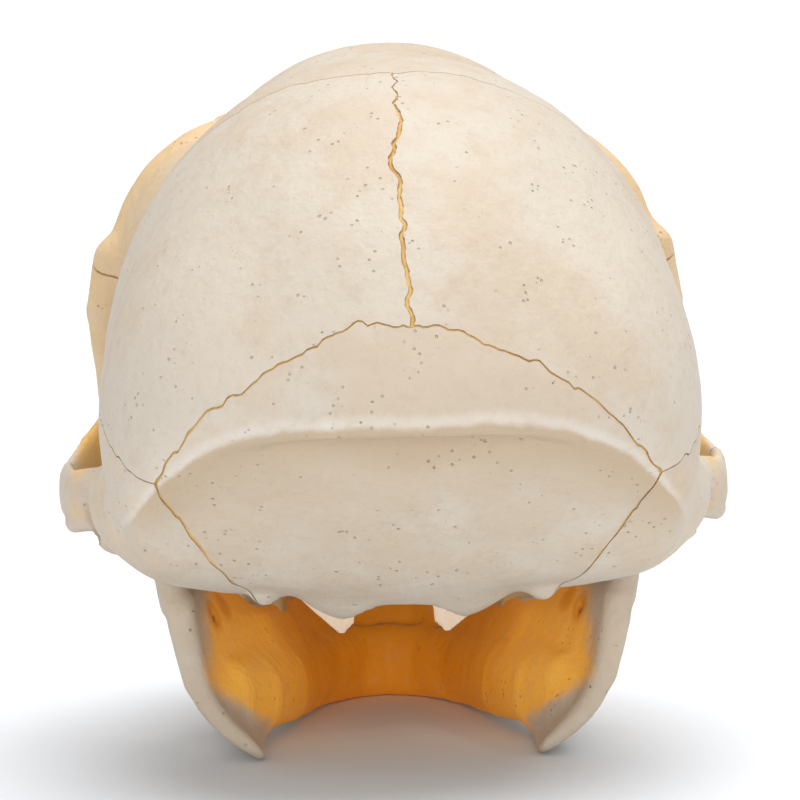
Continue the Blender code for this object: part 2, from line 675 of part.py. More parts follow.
def on_curve(points, distance):
    """The place and direction this far along a line of points."""
    for start, end in zip(points, points[1:]):
        step = Vector(end) - Vector(start)
        if distance <= step.length:
            return Vector(start) + step * (distance / step.length), step.normalized()
        distance -= step.length
    return Vector(points[-1]), (Vector(points[-1]) - Vector(points[-2])).normalized()


def cleaned(piece):
    """Close the hairline edges that the cuts leave, and divide every face into triangles."""
    net = bmesh.new()
    net.from_mesh(piece.data)
    bmesh.ops.triangulate(net, faces=net.faces)
    bmesh.ops.remove_doubles(net, verts=net.verts, dist=0.000006)
    bmesh.ops.dissolve_degenerate(net, edges=net.edges, dist=0.000002)
    bmesh.ops.triangulate(net, faces=net.faces)
    net.to_mesh(piece.data)
    net.free()
    return piece


def settle(piece):
    """Make the jaw under its teeth shallower, and bring all that is above it down by as much."""
    for vertex in piece.data.vertices:
        z = vertex.co.z / MM
        vertex.co.z = (z * (1 - JAW_DEPTH_CUT / 12.0) if z < 12.0 else z - JAW_DEPTH_CUT) * MM


def add_teeth(bone, teeth):
    """Join teeth to the bone that they stand in, as one closed surface."""
    crowd = bpy.data.collections.new(bone.name + "_teeth")
    bpy.context.scene.collection.children.link(crowd)
    for values in teeth:
        crowd.objects.link(tooth(*values))
    union = bone.modifiers.new("teeth", "BOOLEAN")
    union.operation = "UNION"
    union.operand_type = "COLLECTION"
    union.collection = crowd
    union.solver = "EXACT"
    name = bone.name
    made = evaluated_copy(bone, name + "_toothed")
    for item in list(crowd.objects):
        bpy.data.objects.remove(item)
    bpy.data.collections.remove(crowd)
    bpy.data.objects.remove(bone)
    made.name = name
    return made


LAMBDOID = plane_height(LAMBDA, (0, 0, 36.0), ASTERION, 1)
BEHIND_EAR = plane_height(ASTERION, (14.6, 24.0, 21.0), (5.0, 2.0, 17.0), 1)
BROW = plane_height((27.5, -19, 47.8), (0, -27, 54.0), (22, -8, 42.0), 2)
CHEEK = plane_height((16.5, -27, 36), (21.5, -21, 25), (19.0, -12, 34), 0)

net = Net("cranium")
whole = thinned(net.mesh("whole", cranium(net), (-35, -48, 6), (35, 50, 72), SKULL_VOXEL), CRANIUM_TRIANGLES)
made = bones(part_of(whole, loose_parts(whole)[-1][2], "cranium"))
bpy.data.objects.remove(whole)
net = Net("mandible")
whole = thinned(net.mesh("whole", jaw(net), (-28, -44, -1), (28, 14, 32), JAW_VOXEL), JAW_TRIANGLES)
made["mandible"] = part_of(whole, loose_parts(whole)[-1][2], "mandible")
bpy.data.objects.remove(whole)
for side, sign in (("left", 1), ("right", -1)):
    made["maxilla_" + side] = add_teeth(made["maxilla_" + side], tooth_row(True, sign))
made["mandible"] = add_teeth(made["mandible"], tooth_row(False, 1) + tooth_row(False, -1))

# Each bone's own material
COLOURS = {
    "frontal": (0.74, 0.66, 0.50),
    "parietal": (0.80, 0.74, 0.62),
    "occipital": (0.78, 0.71, 0.58),
    "temporal": (0.77, 0.69, 0.56),
    "sphenoid": (0.72, 0.60, 0.42),
    "nasal": (0.76, 0.67, 0.50),
    "zygomatic": (0.74, 0.62, 0.42),
    "maxilla": (0.76, 0.66, 0.48),
    "mandible": (0.66, 0.42, 0.16),
}
collection = bpy.data.collections.new("monkey_skull")
bpy.context.scene.collection.children.link(collection)
for name, piece in made.items():
    piece.name = name
    settle(cleaned(piece))
    material = bpy.data.materials.new(name + "_bone")
    material.use_nodes = True
    shader = material.node_tree.nodes["Principled BSDF"]
    shader.inputs["Base Color"].default_value = (*COLOURS[name.split("_")[0]], 1)
    shader.inputs["Roughness"].default_value = 0.55
    piece.data.materials.clear()
    piece.data.materials.append(material)
    for face in piece.data.polygons:
        face.material_index = 0
    for holder in list(piece.users_collection):
        holder.objects.unlink(piece)
    collection.objects.link(piece)
    print(name, len(piece.data.vertices), sum(len(face.vertices) - 2 for face in piece.data.polygons))
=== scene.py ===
# %% [markdown]
# # The skull of a young monkey
#
# The object is a cleaned, dry skull with its lower jaw, seen from behind. Its bones still part at open
# sutures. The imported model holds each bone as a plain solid, and this script dresses every one of them.
# Each step first says what the piece is on a real skull, and why it is made in this way.

# %% Load the solids
import json
import math

import bmesh
import bpy
from mathutils import Euler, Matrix, Quaternion, Vector, noise

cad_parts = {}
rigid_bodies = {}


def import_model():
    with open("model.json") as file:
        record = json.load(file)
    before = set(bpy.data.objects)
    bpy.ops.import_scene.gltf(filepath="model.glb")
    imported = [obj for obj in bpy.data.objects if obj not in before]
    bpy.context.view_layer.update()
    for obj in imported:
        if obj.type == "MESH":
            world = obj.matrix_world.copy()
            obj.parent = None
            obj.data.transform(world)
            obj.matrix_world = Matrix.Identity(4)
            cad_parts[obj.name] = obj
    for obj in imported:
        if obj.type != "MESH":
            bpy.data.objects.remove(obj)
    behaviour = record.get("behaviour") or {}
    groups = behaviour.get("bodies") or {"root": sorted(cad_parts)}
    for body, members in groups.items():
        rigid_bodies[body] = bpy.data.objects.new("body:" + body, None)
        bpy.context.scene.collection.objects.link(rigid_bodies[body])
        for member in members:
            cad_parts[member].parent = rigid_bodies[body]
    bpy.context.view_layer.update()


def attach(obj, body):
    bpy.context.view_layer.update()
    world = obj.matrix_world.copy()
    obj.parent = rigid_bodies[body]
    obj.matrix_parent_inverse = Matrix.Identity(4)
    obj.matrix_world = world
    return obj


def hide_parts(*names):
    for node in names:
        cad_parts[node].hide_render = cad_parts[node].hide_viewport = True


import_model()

MM = 0.001

# %% [markdown]
# ## Camera
#
# The photograph looks at the back of the skull from a little above, with a long lens. The distance, not
# the lens, sets how much of the brow shows past the braincase, so it was found first and the lens after it.

# %% Camera
AIM = Vector((-0.0007, 0, 0.0334))
AZIMUTH, ELEVATION, DISTANCE = math.radians(178), math.radians(6.5), 0.600
PIXELS_PER_MM = 10.4
level = math.cos(ELEVATION)
back = Vector((math.sin(AZIMUTH) * level, -math.cos(AZIMUTH) * level, math.sin(ELEVATION)))
camera_data = bpy.data.cameras.new("camera")
camera_data.sensor_width = 36
camera_data.lens = 36 * DISTANCE / MM / (800 / PIXELS_PER_MM)
camera = bpy.data.objects.new("camera", camera_data)
camera.location = AIM + back * DISTANCE
roll = Quaternion((0, 0, 1), math.radians(-1.0))
camera.rotation_euler = ((-back).to_track_quat("-Z", "Y") @ roll).to_euler()
bpy.context.scene.collection.objects.link(camera)
bpy.context.scene.camera = camera
print("lens", round(camera_data.lens), "mm")

# %% [markdown]
# ## Shape fields
#
# A skull has no straight edge: its forms swell out of each other. Boxes and bevels can't give that, and
# sculpting by hand can't be written down. So each form is a field, a number for every place in space that is
# negative inside the form. Math nodes blend the fields, a volume is filled with the result, and Volume to
# Mesh draws its surface. The small class below lets Python operators add those nodes.

# %% Fields
class Field:
    """The output of one node, with the maths that combines such numbers."""

    def __init__(self, net, socket):
        self.net, self.socket = net, socket

    def __add__(self, other):
        return self.net.maths("ADD", self, other)

    def __sub__(self, other):
        return self.net.maths("SUBTRACT", self, other)

    def __rsub__(self, other):
        return self.net.maths("SUBTRACT", other, self)

    def __mul__(self, other):
        return self.net.maths("MULTIPLY", self, other)

    def __truediv__(self, other):
        return self.net.maths("DIVIDE", self, other)

    __radd__ = __add__
    __rmul__ = __mul__

    def joined(self, other, blend=1.0):
        return self.net.maths("SMOOTH_MIN", self, other, blend)

    def meets(self, other, blend=0.5):
        return self.net.maths("SMOOTH_MAX", self, other, blend)

    def without(self, other, blend=0.5):
        return self.meets(other * -1.0, blend)

    def clamped(self):
        return self.net.maths("MINIMUM", self.net.maths("MAXIMUM", self, 0.0), 1.0)


class Net:
    """A node tree that works out fields, in millimetres. Both halves of the skull share one formula."""

    def __init__(self, name):
        self.tree = bpy.data.node_groups.new(name, "GeometryNodeTree")
        self.tree.interface.new_socket("Geometry", in_out="OUTPUT", socket_type="NodeSocketGeometry")
        position = self.tree.nodes.new("GeometryNodeInputPosition").outputs[0]
        self.raw = self.vector("SCALE", position, scale=1 / MM)
        parts = self.tree.nodes.new("ShaderNodeSeparateXYZ")
        self.tree.links.new(self.raw, parts.inputs[0])
        self.side = Field(self, parts.outputs[0])
        self.out = self.maths("ABSOLUTE", self.side)
        self.back = Field(self, parts.outputs[1])
        self.up = Field(self, parts.outputs[2])
        mirrored = self.tree.nodes.new("ShaderNodeCombineXYZ")
        for socket, value in zip(mirrored.inputs, (self.out, self.back, self.up)):
            self.tree.links.new(value.socket, socket)
        self.place = mirrored.outputs[0]

    def set(self, socket, value):
        value = value.socket if isinstance(value, Field) else value
        if isinstance(value, bpy.types.NodeSocket):
            self.tree.links.new(value, socket)
        else:
            socket.default_value = value

    def maths(self, operation, *values):
        node = self.tree.nodes.new("ShaderNodeMath")
        node.operation = operation
        for socket, value in zip(node.inputs, values):
            self.set(socket, value)
        return Field(self, node.outputs[0])

    def vector(self, operation, *values, scale=None):
        node = self.tree.nodes.new("ShaderNodeVectorMath")
        node.operation = operation
        for socket, value in zip(node.inputs, values):
            self.set(socket, value)
        if scale is not None:
            self.set(node.inputs["Scale"], scale)
        number = operation in ("LENGTH", "DOT_PRODUCT")
        return Field(self, node.outputs["Value"]) if number else node.outputs["Vector"]

    def noise(self, size, detail=2.0, seed=0.0):
        """Soft noise from -1 to 1 whose patches are about this many millimetres across."""
        node = self.tree.nodes.new("ShaderNodeTexNoise")
        moved = self.vector("ADD", self.raw, Vector((seed, seed * 0.7, -seed)))
        self.set(node.inputs["Vector"], moved)
        node.inputs["Scale"].default_value = 1 / size
        node.inputs["Detail"].default_value = detail
        return Field(self, node.outputs[0]) * 2.0 - 1.0

    def local(self, centre, turn):
        moved = self.vector("SUBTRACT", self.place, Vector(centre))
        if not any(turn):
            return moved
        node = self.tree.nodes.new("ShaderNodeVectorRotate")
        node.rotation_type = "EULER_XYZ"
        node.invert = True
        self.tree.links.new(moved, node.inputs["Vector"])
        node.inputs["Rotation"].default_value = Euler([math.radians(angle) for angle in turn])
        return node.outputs[0]

    def ball(self, centre, radii, turn=(0, 0, 0)):
        radii = Vector(radii)
        scaled = self.vector("DIVIDE", self.local(centre, turn), radii)
        far = self.vector("LENGTH", scaled)
        return far * (far - 1.0) / self.vector("LENGTH", self.vector("DIVIDE", scaled, radii))

    def slab(self, centre, half_sizes, rounding, turn=(0, 0, 0)):
        inner = Vector(half_sizes) - Vector((rounding,) * 3)
        beyond = self.vector("SUBTRACT", self.vector("ABSOLUTE", self.local(centre, turn)), inner)
        outside = self.vector("LENGTH", self.vector("MAXIMUM", beyond, Vector((0, 0, 0))))
        parts = self.tree.nodes.new("ShaderNodeSeparateXYZ")
        self.tree.links.new(beyond, parts.inputs[0])
        widest = self.maths("MAXIMUM", parts.outputs[0], self.maths("MAXIMUM", *parts.outputs[1:]))
        return outside + self.maths("MINIMUM", widest, 0.0) - rounding

    def bar(self, start, end, start_radius, end_radius, squash=(1, 1, 1)):
        squash = Vector(squash)
        start, end = Vector(start) * squash, Vector(end) * squash
        along = end - start
        from_start = self.vector("SUBTRACT", self.vector("MULTIPLY", self.place, squash), start)
        share = self.vector("DOT_PRODUCT", from_start, along / along.length_squared).clamped()
        nearest = self.vector("SCALE", along, scale=share)
        away = self.vector("LENGTH", self.vector("SUBTRACT", from_start, nearest))
        return away - (share * (end_radius - start_radius) + start_radius)

    def chain(self, points, radii, squash=(1, 1, 1), blend=0.25):
        whole = None
        for at in range(len(points) - 1):
            piece = self.bar(points[at], points[at + 1], radii[at], radii[at + 1], squash)
            whole = piece if whole is None else whole.joined(piece, blend)
        return whole

    def below(self, point, normal):
        normal = Vector(normal).normalized()
        return self.vector("DOT_PRODUCT", self.vector("SUBTRACT", self.place, Vector(point)), normal)

    def ring(self, centre, radius, thickness, stretch, turn=(0, 0, 0)):
        local = self.vector("MULTIPLY", self.local(centre, turn), Vector((1 / stretch, 1, 1)))
        flat = self.vector("MULTIPLY", local, Vector((1, 0, 1)))
        depth = self.vector("DOT_PRODUCT", local, Vector((0, 1, 0)))
        out = self.vector("LENGTH", flat) - radius
        return self.maths("SQRT", out * out + depth * depth) - thickness

    def mesh(self, name, shape, low, high, voxel, relief=None):
        """The surface of shape inside a box. relief, in millimetres, then moves it along its normals."""
        cube = self.tree.nodes.new("GeometryNodeVolumeCube")
        self.set(cube.inputs["Density"], shape * -1.0)
        cube.inputs["Background"].default_value = -1.0
        cube.inputs["Min"].default_value = Vector(low) * MM
        cube.inputs["Max"].default_value = Vector(high) * MM
        for axis, letter in enumerate("XYZ"):
            cube.inputs["Resolution " + letter].default_value = round((high[axis] - low[axis]) / voxel) + 1
        surface = self.tree.nodes.new("GeometryNodeVolumeToMesh")
        surface.inputs["Threshold"].default_value = 0.0
        self.tree.links.new(cube.outputs[0], surface.inputs[0])
        last = surface.outputs[0]
        if relief is not None:
            move = self.tree.nodes.new("GeometryNodeSetPosition")
            normal = self.tree.nodes.new("GeometryNodeInputNormal").outputs[0]
            self.tree.links.new(last, move.inputs["Geometry"])
            self.tree.links.new(self.vector("SCALE", normal, scale=relief * MM), move.inputs["Offset"])
            last = move.outputs[0]
        out = self.tree.nodes.new("NodeGroupOutput")
        self.tree.links.new(last, out.inputs[0])
        maker = bpy.data.objects.new(name + "_maker", bpy.data.meshes.new(name))
        bpy.context.scene.collection.objects.link(maker)
        maker.modifiers.new("field", "NODES").node_group = self.tree
        made = evaluated_copy(maker, name)
        bpy.data.objects.remove(maker)
        return made


def evaluated_copy(source, name):
    """A new mesh object that holds source as its modifiers show it."""
    bpy.context.view_layer.update()
    graph = bpy.context.evaluated_depsgraph_get()
    mesh = bpy.data.meshes.new_from_object(source.evaluated_get(graph), depsgraph=graph)
    made = bpy.data.objects.new(name, mesh)
    bpy.context.scene.collection.objects.link(made)
    return made


# %% [markdown]
# ## The cranium
#
# The braincase is an egg that leans back, flattened under the occiput where the neck muscles held on. The
# face, the orbits, the cheek arches and the wing plates grow out of it. All sizes are those of the solids,
# so that the dressed bone lies on the solid it replaces.

# %% Braincase
BRAINCASE_CENTRE = Vector((0.0, 12.0, 37.6))
ORBIT_CENTRE = Vector((13.2, -23.5, 46.8))
UPPER_EDGE, LOWER_EDGE = 20.9, 13.3


def braincase(net):
    shape = net.ball(BRAINCASE_CENTRE, (27.5, 34.5, 30.5), (-14, 0, 0))
    shape = shape.joined(net.ball((0, -6, 44.6), (21.5, 20.5, 24.0)), 5.0)
    shape = shape.joined(net.ball((12, 23, 35), (15.6, 19.5, 20.5)), 5.0)
    shape = shape.meets(net.below((0, 44.0, 37.0), (0.12, 0.72, -0.66)), 3.0)
    shape = shape.without(net.ball((0, 47.0, 30.6), (23.0, 9.4, 5.6), (-42, 0, 0)), 3.0)
    shape = shape.meets(net.below((0, 20, 18.1), (0.10, 0.10, -1)), 4.0)
    shape = shape.without(net.ball((35, -11.5, 32), (17, 17.5, 20), (0, 0, 10)), 5.0)
    return shape.joined(net.slab((0, 4, 22), (9, 20, 5.5), 4.0), 5.0)


def nuchal_crest(net):
    points = [(0, 44.2, 37.3), (8, 43.3, 37.1), (15.6, 39.4, 36.3), (19.6, 35.6, 34.4), (21.8, 32.2, 31.8)]
    points += [(25.6, 22.5, 29.0), (27.6, 12, 27.8), (29.0, 6, 26.8)]
    return net.chain(points, [1.1, 1.1, 1.1, 1.1, 1.1, 1.3, 1.5, 1.6])


def mastoid(net):
    swelling = net.ball((20.5, 16.5, 25.6), (8.4, 10.0, 5.4), (0, -12, 20))
    swelling = swelling.joined(net.ball((15.0, 17.5, 22.6), (4.0, 5.0, 3.2)), 3.0)
    swelling = swelling.joined(net.bar((12.4, 19.0, 22.0), (13.0, 21.6, 18.9), 1.5, 0.7), 1.2)
    tube = net.bar((17, 9, 23.5), (26.0, 9.4, 24.4), 3.6, 3.0)
    bulla = net.ball((12.0, 6.0, 21.4), (4.4, 7.0, 3.4), (0, 0, -24))
    return swelling.joined(tube, 2.5).joined(bulla, 2.5)


# %% Face, orbits and arches
def arch(net):
    points = [(27.5, 9.4, 26.6), (30.8, 4.5, 26.2), (31.4, -2, 26.2), (29.6, -10, 27.6), (26.4, -17, 30.2)]
    bar = net.chain(points, [0.9, 0.85, 0.85, 0.9, 1.2], (1, 1, 0.32))
    return bar.joined(net.bar((24, 8, 24.8), (30.4, 3.0, 23.5), 2.0, 1.0, (1, 1, 1.5)), 1.5)


def orbit_block(net):
    wall = net.ball((13.3, -16.5, 46.6), (12.8, 12.0, 13.0))
    rim = net.ring(ORBIT_CENTRE, 12.0, 1.9, 1.04, (-4, 0, 20))
    brow = net.chain([(0, -25.5, 57.2), (8, -26.4, 58.8), (15, -24.8, 58.6)], [2.6, 2.4, 2.0])
    return wall.joined(rim, 2.5).joined(brow, 3.0)


def orbit_hollow(net):
    front = net.ball(ORBIT_CENTRE + Vector((0.2, 1.0, 0)), (10.4, 12.5, 10.09), (0, 0, 14))
    return front.joined(net.bar((13.0, -22, 46.4), (9.0, -8.5, 45.6), 7.6, 2.0), 3.0)


def cheek(net):
    body = net.bar((18.0, -26.0, 33.0), (24.8, -19.4, 33.0), 3.8, 2.8, (1, 1, 0.8))
    pillar = net.chain([(26.4, -17.4, 47.0), (27.3, -17.6, 42.0), (26.0, -18.4, 33.5)], [2.2, 2.2, 2.3])
    return body.joined(pillar, 3.0)


def muzzle(net):
    body = net.ball((0, -21, 29.0), (18.5, 21.5, 12.0))
    body = body.joined(net.ball((0, -31.5, 28.0), (12.8, 14.0, 10.5)), 4.0)
    bridge = net.chain([(0, -23.6, 54.5), (0, -28.6, 47.5), (0, -35.2, 39.5)], [2.8, 2.5, 2.6])
    bridge = bridge.joined(net.bar((3.6, -26.0, 46), (9.5, -31.5, 34), 1.8, 3.0), 3.0)
    body = body.joined(bridge, 5.0)
    row = [(12.9, -12.5, 22), (12.9, -22, 23), (12.0, -31, 23.6), (9.6, -38, 24)]
    row += [(5, -41.8, 23.6), (0, -42.9, 23.4)]
    body = body.joined(net.chain(row, [3.2, 3.8, 3.8, 3.6, 3.0, 2.8], (1, 1, 0.85), 0.4), 2.5)
    return body.meets(net.below((0, -20, UPPER_EDGE), (0, 0, -1)), 1.2)


def pterygoid(net):
    outer = net.slab((8.2, -4.2, 16.6), (0.7, 4.4, 6.2), 0.5, (0, 0, -46))
    outer = outer.meets(net.below((5.6, 0, 11.0), (0.73, 0, -0.68)), 0.6)
    inner = net.bar((4.8, -7.2, 20.0), (4.9, -7.2, 12.3), 2.0, 1.1, (1, 1.8, 1))
    root = net.slab((6.4, -6.2, 20.0), (3.4, 2.6, 3.0), 1.2)
    return outer.joined(inner, 0.8).joined(root, 1.5)


def cranium(net):
    shape = braincase(net)
    shape = shape.joined(mastoid(net), 4.0)
    shape = shape.joined(nuchal_crest(net), 2.5)
    shape = shape.joined(orbit_block(net), 4.0)
    shape = shape.joined(muzzle(net), 4.0)
    shape = shape.joined(cheek(net), 3.0)
    shape = shape.joined(arch(net), 2.0)
    shape = shape.without(orbit_hollow(net), 0.8)
    nose = net.ball((0, -40.0, 32.8), (4.6, 8.5, 6.6), (-24, 0, 0))
    nose = nose.joined(net.ball((0, -37, 29), (5.4, 7, 3.6)), 2.0)
    shape = shape.without(nose, 0.8)
    shape = shape.without(net.ball((0, -23, 17.9), (8.4, 18.5, 5.6), (3, 0, 0)), 1.5)
    shape = shape.without(net.slab((0, -6, 21.7), (3.9, 8.5, 3.2), 2.5, (-8, 0, 0)), 1.0)
    shape = shape.joined(pterygoid(net), 1.0)
    shape = shape.without(net.ball((0, 16.6, 17.5), (6.0, 7.6, 9.0), (8, 0, 0)), 1.0)
    shape = shape.joined(net.ball((6.9, 18.0, 19.8), (2.6, 4.8, 2.5), (10, 0, -22)), 1.5)
    shape = shape.without(net.bar((30, 9.5, 24.6), (22.5, 9.2, 23.8), 1.9, 1.5), 0.5)
    return shape.without(jaw(net) - 0.55, 0.3)


# %% [markdown]
# ## The lower jaw
#
# Behind the teeth each half of the jaw rises as a thin upright plate, the ramus. Seen from behind, its
# plate spreads outwards as it rises, which gives the gap between the halves its arched shape. It is written
# as a curved sheet, and not as a box, so that it stays thin and even.

# %% Lower jaw
def ramus(net):
    up, rear = net.up, net.back
    turn = net.maths("MAXIMUM", (up - 11.0) * (up - 11.0) * (-1 / 81) + 1.0, 0.0) * 0.34
    high = net.maths("MAXIMUM", up, 0.0)
    foot = net.maths("EXPONENT", net.maths("POWER", high, 1.5) * -0.101)
    middle = foot * -5.1 + up * 0.17 + 18.4 + turn * (rear - 9.0)
    slope = net.maths("SQRT", high) * foot * 0.77 + 0.17
    sheet = net.maths("ABSOLUTE", net.out - middle) / net.maths("SQRT", slope * slope + 1.12)
    sheet = sheet + net.maths("EXPONENT", high * -0.6) * 0.66 - 1.0
    outline = rear + up * 0.11 - 10.2
    outline = outline.meets(rear * -1.0 - up * 0.06 - 7.6, 2.0)
    outline = outline.meets(up * -1.0 + (rear - 7.0) * (rear - 7.0) * 0.018 - 0.02, 3.5)
    outline = outline.meets(up + rear * 0.25 - 18.6, 1.5)
    plate = sheet.meets(outline, 1.0)
    back_edge = [(21.8, 6.6, 19.5), (20.8, 7.6, 14.0), (19.5, 8.2, 8.5)]
    plate = plate.joined(net.chain(back_edge, [1.25, 1.05, 0.75]), 2.0)
    front_edge = [(23.6, -1.6, 27.2), (23.3, -3.0, 23.5), (22.2, -5.2, 18.6), (18.2, -8.4, 11.5)]
    plate = plate.joined(net.chain(front_edge, [0.8, 1.5, 1.9, 1.6], (1.5, 1, 1), 1.5), 2.0)
    neck = net.bar((21.4, 6.0, 16.0), (22.2, 4.2, 20.4), 1.3, 1.4)
    return plate.joined(neck, 1.5).joined(net.ball((22.6, 3.6, 21.3), (4.1, 2.1, 1.7)), 1.2)


def jaw(net):
    tall = (1, 1, 0.5)
    border = [(16.6, 5.0, 5.2), (12.6, -1.0, 5.1), (10.2, -8, 4.8), (8.8, -16, 4.4), (6.8, -23, 4.0)]
    border += [(3.6, -28, 3.9), (0, -29.6, 3.9)]
    low = net.chain(border, [1.0, 1.5, 1.75, 1.9, 1.9, 1.95, 2.0], tall, 0.4)
    row = [(17.6, -2, 9.2), (14.4, -8, 9.4), (13.0, -15, 9.4), (12.2, -23, 9.4), (10.6, -30, 9.5)]
    row += [(8, -35, 9.8), (4.5, -38, 10), (0, -38.9, 10.2)]
    high = net.chain(row, [1.6, 2.5, 2.8, 2.9, 2.9, 2.9, 2.8, 2.8], tall, 0.4)
    between = [(15.6, 3.0, 6.6), (13.2, -6, 6.8), (11.6, -14, 6.8), (10.6, -22, 6.7), (8.2, -29, 6.7)]
    between += [(4.2, -33.4, 6.9), (0, -34.8, 7.0)]
    middle = net.chain(between, [1.3, 2.0, 2.3, 2.5, 2.7, 2.9, 3.1], tall, 0.4)
    body = low.joined(high, 3.0).joined(middle, 3.0)
    body = body.meets(net.below((0, 0, LOWER_EDGE), (0, 0, 1)), 0.8)
    return body.joined(ramus(net), 2.5).meets(net.below((0, 0, 0), (0, 0, -1)), 0.4)


def foramen(net):
    """The nerve holes of the jaw: one inside each ramus, one on each side of the chin."""
    inside = net.bar((14.5, 3.5, 15.8), (18.2, 1.5, 14.0), 0.9, 0.6)
    return inside.joined(net.bar((12.5, -29.5, 7.4), (9.5, -28.0, 7.0), 0.55, 0.5), 0.1)


# %% [markdown]
# ## Relief
#
# Real bone is never smooth: the vault undulates, blood vessels leave shallow lines, and the neck muscles
# leave a rough field under the crest. Bump alone would not show on the outline, so the larger relief moves
# the mesh itself. It is worked out on the finished surface, which is far cheaper than in the volume.

# %% Relief
def bone_relief(net):
    waves = net.noise(9.0, 1.0) * 0.22 + net.noise(2.6, 2.0, 31.0) * 0.07
    under = (net.back * 0.72 - net.up * 0.66 - 7.0) * 0.25
    rough = net.noise(1.5, 3.0, 57.0) * under.clamped() * (net.back * 0.2 - 3.0).clamped() * 0.16
    return waves + rough


def jaw_relief(net):
    return net.noise(5.0, 1.0, 13.0) * 0.10 + net.noise(1.7, 2.0, 71.0) * 0.05


# %% Make the two blanks
VOXEL = 0.42
JAW_VOXEL = 0.34
SKULL_BOX = (-35, -48, 6), (35, 50, 72)
JAW_BOX = (-28, -44, -1), (28, 14, 32)
TISSUE_DEPTH = 0.16
net = Net("cranium")
skull = net.mesh("skull", cranium(net), *SKULL_BOX, VOXEL, bone_relief(net))
net = Net("lower_jaw")
pierced = jaw(net).without(foramen(net), 0.4)
lower_jaw = net.mesh("lower_jaw", pierced, *JAW_BOX, JAW_VOXEL, jaw_relief(net))
net = Net("core")
core = net.mesh("core", cranium(net) + TISSUE_DEPTH, *SKULL_BOX, 0.75)
print("cranium faces", len(skull.data.polygons), "jaw faces", len(lower_jaw.data.polygons))

# %% [markdown]
# ## Sutures
#
# The bones of the vault meet in wandering lines. A line drawn in the material would vanish from the side,
# so the blank is really cut, with a thin sheet that wanders as the suture does. One grid, moved into place
# and extruded to a second layer, makes each sheet.

# %% The lines that the sutures follow
def plane_height(first, second, third, out):
    """The plane through three points, as a function that gives coordinate out from the other two."""
    first, second, third = Vector(first), Vector(second), Vector(third)
    normal = (second - first).cross(third - first)
    one, two = [axis for axis in range(3) if axis != out]

    def height(a, b):
        return first[out] - (normal[one] * (a - first[one]) + normal[two] * (b - first[two])) / normal[out]

    return height


ASTERION = (21.9, 31.8, 31.4)
LAMBDOID = plane_height((0, 44.5, 46.4), (0, 0, 36.0), ASTERION, 1)
BEHIND_EAR = plane_height(ASTERION, (15.7, 25.0, 20.6), (5.0, 2.0, 17.0), 1)
BROW = plane_height((27.5, -19, 47.8), (0, -27, 54.0), (22, -8, 42.0), 2)
CHEEK = plane_height((16.5, -27, 36), (21.5, -21, 25), (19.0, -12, 34), 0)


def wander(along, seed, broad=0.5, fine=0.28):
    """How far a suture strays from its line at this many millimetres along it."""
    slow = noise.noise(Vector((along * 0.16, seed, 0.0)))
    quick = noise.noise(Vector((along * 0.75, seed, 7.0)))
    tiny = noise.noise(Vector((along * 2.1, seed, 13.0)))
    return slow * broad * 2 + quick * fine * 2 + tiny * fine * 0.7


def coronal(x, z):
    upper = 19.5 - 0.25 * abs(x) + 0.30 * (z - 66.6) - 0.6 * max(0.0, abs(x) - 26)
    upper += wander(math.atan2(x, z - 32) * 32, 3.1, 0.7, 0.25)
    lower = -7.5 + 0.4 * (22 - abs(x)) - 0.1 * (z - 28) - 0.8 * max(0.0, abs(x) - 24)
    return max(upper, lower)


def occipital_edge(x, z):
    along = x if abs(x) < 21 else math.copysign(21 + (32 - z) * 0.9, x)
    upper = LAMBDOID(abs(x), z) - 0.045 * abs(x) * (22.0 - abs(x))
    shoulder = min(1.0, abs(x) / 4) * min(1.0, max(0.0, 23.5 - abs(x)) / 5)
    upper -= (8.0 if x > 0 else 4.5) * shoulder
    stray = wander(along * 1.3, 5.3, 0.45, 0.32)
    return max(upper + stray * 3.2, BEHIND_EAR(abs(x), z) + stray)


def squamous(x, y):
    return 40.2 - 0.0090 * (y - 3.0) ** 2 + wander(y * 1.2, 9.7 if x > 0 else 11.9, 0.5, 0.25)


MIDLINE_BENDS = [(0.2, 0.0), (0.4, 0.2), (0.5, -0.1), (0.56, 0.6), (0.65, 0.95), (0.69, 0.35)]
MIDLINE_BENDS += [(0.81, 0.0), (0.92, 0.0), (1.06, 0.05), (1.1, -0.35), (1.3, -0.35)]


def bend_at(bends, angle):
    """The value at this angle, between those of the two nearest bends."""
    for (before, low), (after, high) in zip(bends, bends[1:]):
        if before <= angle <= after:
            return low + (high - low) * (angle - before) / (after - before)
    return bends[0][1] if angle < bends[0][0] else bends[-1][1]


def midline(y, z):
    angle = math.atan2(y - 12, z - 30)
    return bend_at(MIDLINE_BENDS, angle) + wander(angle * 33, 1.7, 0.08, 0.24) if y > 0 else 0.0


def brow_edge(x, y):
    return BROW(abs(x), y) + wander(x * 1.1 + y, 15.1, 0.15, 0.1)


def wing_edge(x, z):
    return -9.8 - 0.12 * (z - 17) + 7.0 * max(0.0, abs(x) - 27.0)


def cheek_edge(y, z):
    return CHEEK(y, z) + wander(z, 17.3, 0.25, 0.15)


def cheek_edge_right(y, z):
    return -CHEEK(y, z) + wander(z, 19.3, 0.25, 0.15)


def straight_midline(y, z):
    return 0.0


